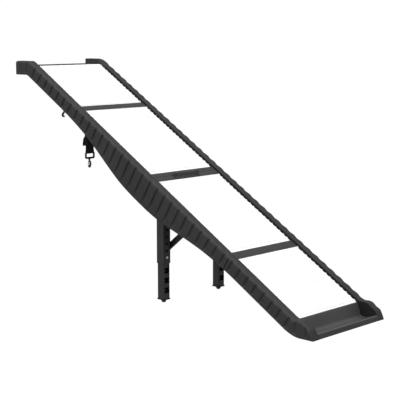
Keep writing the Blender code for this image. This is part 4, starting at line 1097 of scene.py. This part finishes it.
LEAN = 0.0026
line = strap_line()
section = webbing_section(0.018)
rings = []
for k, (x, z) in enumerate(line):
    a, b = line[max(k - 1, 0)], line[min(k + 1, len(line) - 1)]
    t = Vector((b[0] - a[0], b[1] - a[1])).normalized()
    normal = Vector((-t.y, t.x))
    low = min(max((EYE_Z - z) / (EYE_Z - RING_Z[0]), 0.0), 1.0)
    rings.append([(x + FOLD_X + normal.x * h, TETHER_Y + LEAN * low + y * (1 + 0.08 * low), z + normal.y * h) for y, h in section])
strap = skin("strap_webbing", rings)
shade(strap, 50)
piece(strap, "tether", ["tether_strap"], "webbing")

# Lock stitches: a box with a cross through both layers above the ring.
stitches = []
sx = EYE_X + FOLD_X
low, high, wide = RING_Z[0] + 0.0200, RING_Z[0] + 0.0520, 0.0135
runs = [((-wide, low), (wide, low)), ((wide, low), (wide, high)), ((wide, high), (-wide, high)), ((-wide, high), (-wide, low)), ((-wide, low), (wide, high)), ((wide, low), (-wide, high))]
for front in (1, -1):
    x = sx + front * (lay + WEB_T / 2 + 0.00012) + (0.0006 if front > 0 else 0.0)
    for (ya, za), (yb, zb) in runs:
        a, b = Vector((x, TETHER_Y + LEAN + ya, za)), Vector((x, TETHER_Y + LEAN + yb, zb))
        count = max(3, round((b - a).length / 0.0034))
        for k in range(count):
            p, q = a.lerp(b, (k + 0.14) / count), a.lerp(b, (k + 0.86) / count)
            path = [p.lerp(q, i / 4) - Vector((front * 0.00030 * abs(i - 2) / 2, 0, 0)) for i in range(5)]
            stitches.append(tube_along("stitch", path, [0.00012, 0.00028, 0.00034, 0.00028, 0.00012], sides=6))
with bpy.context.temp_override(active_object=stitches[0], selected_editable_objects=stitches, selected_objects=stitches, object=stitches[0]):
    bpy.ops.object.join()
sewing = stitches[0]
sewing.name = "strap_stitching"
shade(sewing, 60)
piece(sewing, "tether", None, "thread")

hy, hz, zc = 0.0203, (RING_Z[0] - RING_Z[1]) / 2, (RING_Z[0] + RING_Z[1]) / 2
path = [(EYE_X, u, v) for u, v in round_box(TETHER_Y + LEAN, zc, 2 * hy, 2 * hz, 0.0036, 10)]
path = [p for k, p in enumerate(path) if (Vector(p) - Vector(path[k - 1])).length > 1e-6]
dense = []
for k, p in enumerate(path):
    q = path[(k + 1) % len(path)]
    steps = max(1, round((Vector(q) - Vector(p)).length / 0.002))
    dense += [tuple(Vector(p).lerp(Vector(q), i / steps)) for i in range(steps)]
ring = tube_along("ring_frame", dense, 0.0038, WORLD, 16, loop=True)
boss = turned("ring_boss", [(0.0034, 0.0), (0.0046, -0.0008), (0.0048, -0.0020), (0.0048, RING_Z[1] * -1 + 0.0005 + SNAP_TOP + GAP + 0.0012), (0.0038, SNAP_TOP + GAP - RING_Z[1] - 0.0005)],
              WORLD @ Matrix.Translation((EYE_X, TETHER_Y, RING_Z[1] + 0.0005)), 32)
combine(ring, boss, "UNION")
shade(ring, 45)
piece(ring, "ring", ["tether_ring"], "blackened")

hook_line = [(0.0, 0.0040)] + bezier((0.0022, 0.0052), (0.0060, 0.0062), (0.0078, 0.0090), (0.0078, 0.0150), 12) \
    + bezier((0.0078, 0.0165), (0.0078, 0.0235), (0.0045, 0.0275), (0.0, 0.0275), 12) \
    + bezier((-0.0012, 0.0275), (-0.0052, 0.0272), (-0.0076, 0.0245), (-0.0078, 0.0205), 10)
points = [(EYE_X, TETHER_Y + 0.56 * u, SNAP_TOP - v) for u, v in hook_line]
radii = []
for k in range(len(points)):
    t = k / (len(points) - 1)
    radii.append(0.0031 + 0.0012 * math.sin(math.pi * min(t * 1.15, 1.0)) - 0.0004 * ease((t - 0.8) / 0.2))
hook = tube_along("snap_body", points, radii, WORLD, 16)
stem = turned("stem", [(0.0026, 0.0), (0.0032, -0.0005), (0.0034, -0.0020), (0.0028, -0.0026), (0.0028, -0.0036), (0.0032, -0.0042), (0.0028, -0.0056), (0.0020, -0.0064), (0.0008, -0.0068)],
              WORLD @ Matrix.Translation((EYE_X, TETHER_Y, SNAP_TOP)), 28)
ear = slab("ear", [capsule(TETHER_Y - 0.0052, SNAP_TOP - 0.0068, TETHER_Y - 0.0005, SNAP_TOP - 0.0045, 0.0020, 10)], -0.0016, 0.0016,
           Matrix.Translation((FOLD_X + EYE_X, 0, 0)) @ Matrix.Rotation(math.radians(90), 4, "Z") @ UPRIGHT, flat=True)
combine(hook, stem, "UNION", "EXACT")
combine(hook, ear, "UNION", "EXACT")
shade(hook, 40)
piece(hook, "snap", ["snap_hook"], "gunmetal")
GATE_Y, GATE_Z = TETHER_Y - 0.0066, SNAP_TOP - 0.0100
points = [(EYE_X, GATE_Y + (TETHER_Y - 0.0054 - GATE_Y) * k / 8, GATE_Z + (SNAP_TOP - 0.0184 - GATE_Z) * k / 8) for k in range(9)]
gate = tube_along("snap_latch", points, [0.0011, 0.0015, 0.0017, 0.0018, 0.0018, 0.0018, 0.0017, 0.0015, 0.0011], WORLD, 14)
shade(gate, 60)
piece(gate, "gate", ["snap_gate"], "gunmetal")

# -------------------------------------------------------------- folded catch
middle = (-0.5205, -0.0785)
catch = [(-0.5240, -0.0310), (-0.5240, -0.0600), (-0.5268, -0.0690)]
catch += [(middle[0] + 0.0082 * math.cos(math.radians(a)), middle[1] + 0.0082 * math.sin(math.radians(a))) for a in range(180, 351, 10)]
catch += [(middle[0] + 0.0022 * math.cos(math.radians(a)), middle[1] + 0.0022 * math.sin(math.radians(a))) for a in range(350, 179, -17)]
catch += [(-0.5215, -0.0700), (-0.5182, -0.0610), (-0.5178, -0.0310)]
hook = slab("catch_hook", [catch], -0.1842, -0.1778, DECK)
combine(hook, block("catch_head", (-0.5320, -0.5180), (-0.1900, -0.1702), (-0.0420, -0.0300), DECK), "UNION")
rounded(hook, 0.0009, 3, 40)
shade(hook, 40)
piece(hook, "upper_half", ["fold_catch"], "deck")

# ---------------------------------------------------- CAD nodes that stay on
for name, look, width in (("leg_bracket_near", "black", 0.0005), ("leg_bracket_far", "black", 0.0005), ("brace_track_near", "black", 0.0004), ("brace_track_far", "black", 0.0004),
                          ("tether_eye", "black", 0.0003), ("button_spring_near", "zinc", 0.00012), ("button_spring_far", "zinc", 0.00012)):
    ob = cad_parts[name]
    ob.data.materials.clear()
    ob.data.materials.append(LOOKS[look])
    step = ob.modifiers.new("edges", "BEVEL")
    step.width = width
    step.segments = 2
    step.limit_method = "ANGLE"
    step.angle_limit = math.radians(50)
    step.harden_normals = False

# --------------------------------------------------------------------- stage


def floor_look():
    """Plain pale floor that stays even under the object."""
    m = bpy.data.materials.new("pale_floor")
    m.use_nodes = True
    b = m.node_tree.nodes["Principled BSDF"]
    b.inputs["Base Color"].default_value = (0.02, 0.02, 0.02, 1)
    b.inputs["Roughness"].default_value = 0.9
    b.inputs["Specular IOR Level"].default_value = 0.0
    b.inputs["Emission Color"].default_value = (1, 1, 1, 1)
    b.inputs["Emission Strength"].default_value = 1.0
    return m


bm = bmesh.new()
bmesh.ops.create_grid(bm, x_segments=8, y_segments=8, size=30)
mesh = bpy.data.meshes.new("floor")
bm.to_mesh(mesh)
bm.free()
floor = made("floor", mesh, Matrix.Translation((0, 0, -0.0006)))
floor.data.materials.append(floor_look())
floor.visible_diffuse = False
floor.visible_glossy = False
floor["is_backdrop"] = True

world = bpy.data.worlds.new("studio")
bpy.context.scene.world = world
world.use_nodes = True
tree = world.node_tree
tree.nodes.clear()
out = tree.nodes.new("ShaderNodeOutputWorld")
both = tree.nodes.new("ShaderNodeMixShader")
light = tree.nodes.new("ShaderNodeBackground")
seen = tree.nodes.new("ShaderNodeBackground")
path = tree.nodes.new("ShaderNodeLightPath")
light.inputs["Color"].default_value = (1, 1, 1, 1)
light.inputs["Strength"].default_value = 0.336
seen.inputs["Color"].default_value = (1, 1, 1, 1)
seen.inputs["Strength"].default_value = 1.02
tree.links.new(path.outputs["Is Camera Ray"], both.inputs["Fac"])
tree.links.new(light.outputs["Background"], both.inputs[1])
tree.links.new(seen.outputs["Background"], both.inputs[2])
tree.links.new(both.outputs["Shader"], out.inputs["Surface"])


def sun(name, towards, energy, spread):
    """Even light from one side of the room; spread is its width in degrees."""
    data = bpy.data.lights.new(name, "SUN")
    data.energy = energy
    data.angle = math.radians(spread)
    ob = bpy.data.objects.new(name, data)
    home.objects.link(ob)
    ob.location = Vector(towards) * 4
    ob.rotation_euler = Vector(towards).to_track_quat("Z", "Y").to_euler()
    return ob


sun("overhead", (0.02, -0.05, 1.0), 2.46, 70)
sun("left", (-0.45, -0.84, 0.34), 1.14, 50)
sun("front", (0.648, -0.677, 0.342), 0.42, 60)
sun("right", (0.93, -0.10, 0.35), 0.66, 50)

camera = bpy.data.objects.new("camera", bpy.data.cameras.new("camera"))
home.objects.link(camera)
camera.data.lens = 103.31
camera.data.sensor_width = 36.0
camera.data.clip_start = 0.05
camera.data.clip_end = 200.0
camera.location = (2.9709, -3.0485, 1.002)
camera.rotation_euler = (math.radians(90 - 8.560), 0.0, math.radians(43.588))
bpy.context.scene.camera = camera
bpy.context.scene.view_settings.view_transform = "Standard"
bpy.context.scene.view_settings.look = "None"

low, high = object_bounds()
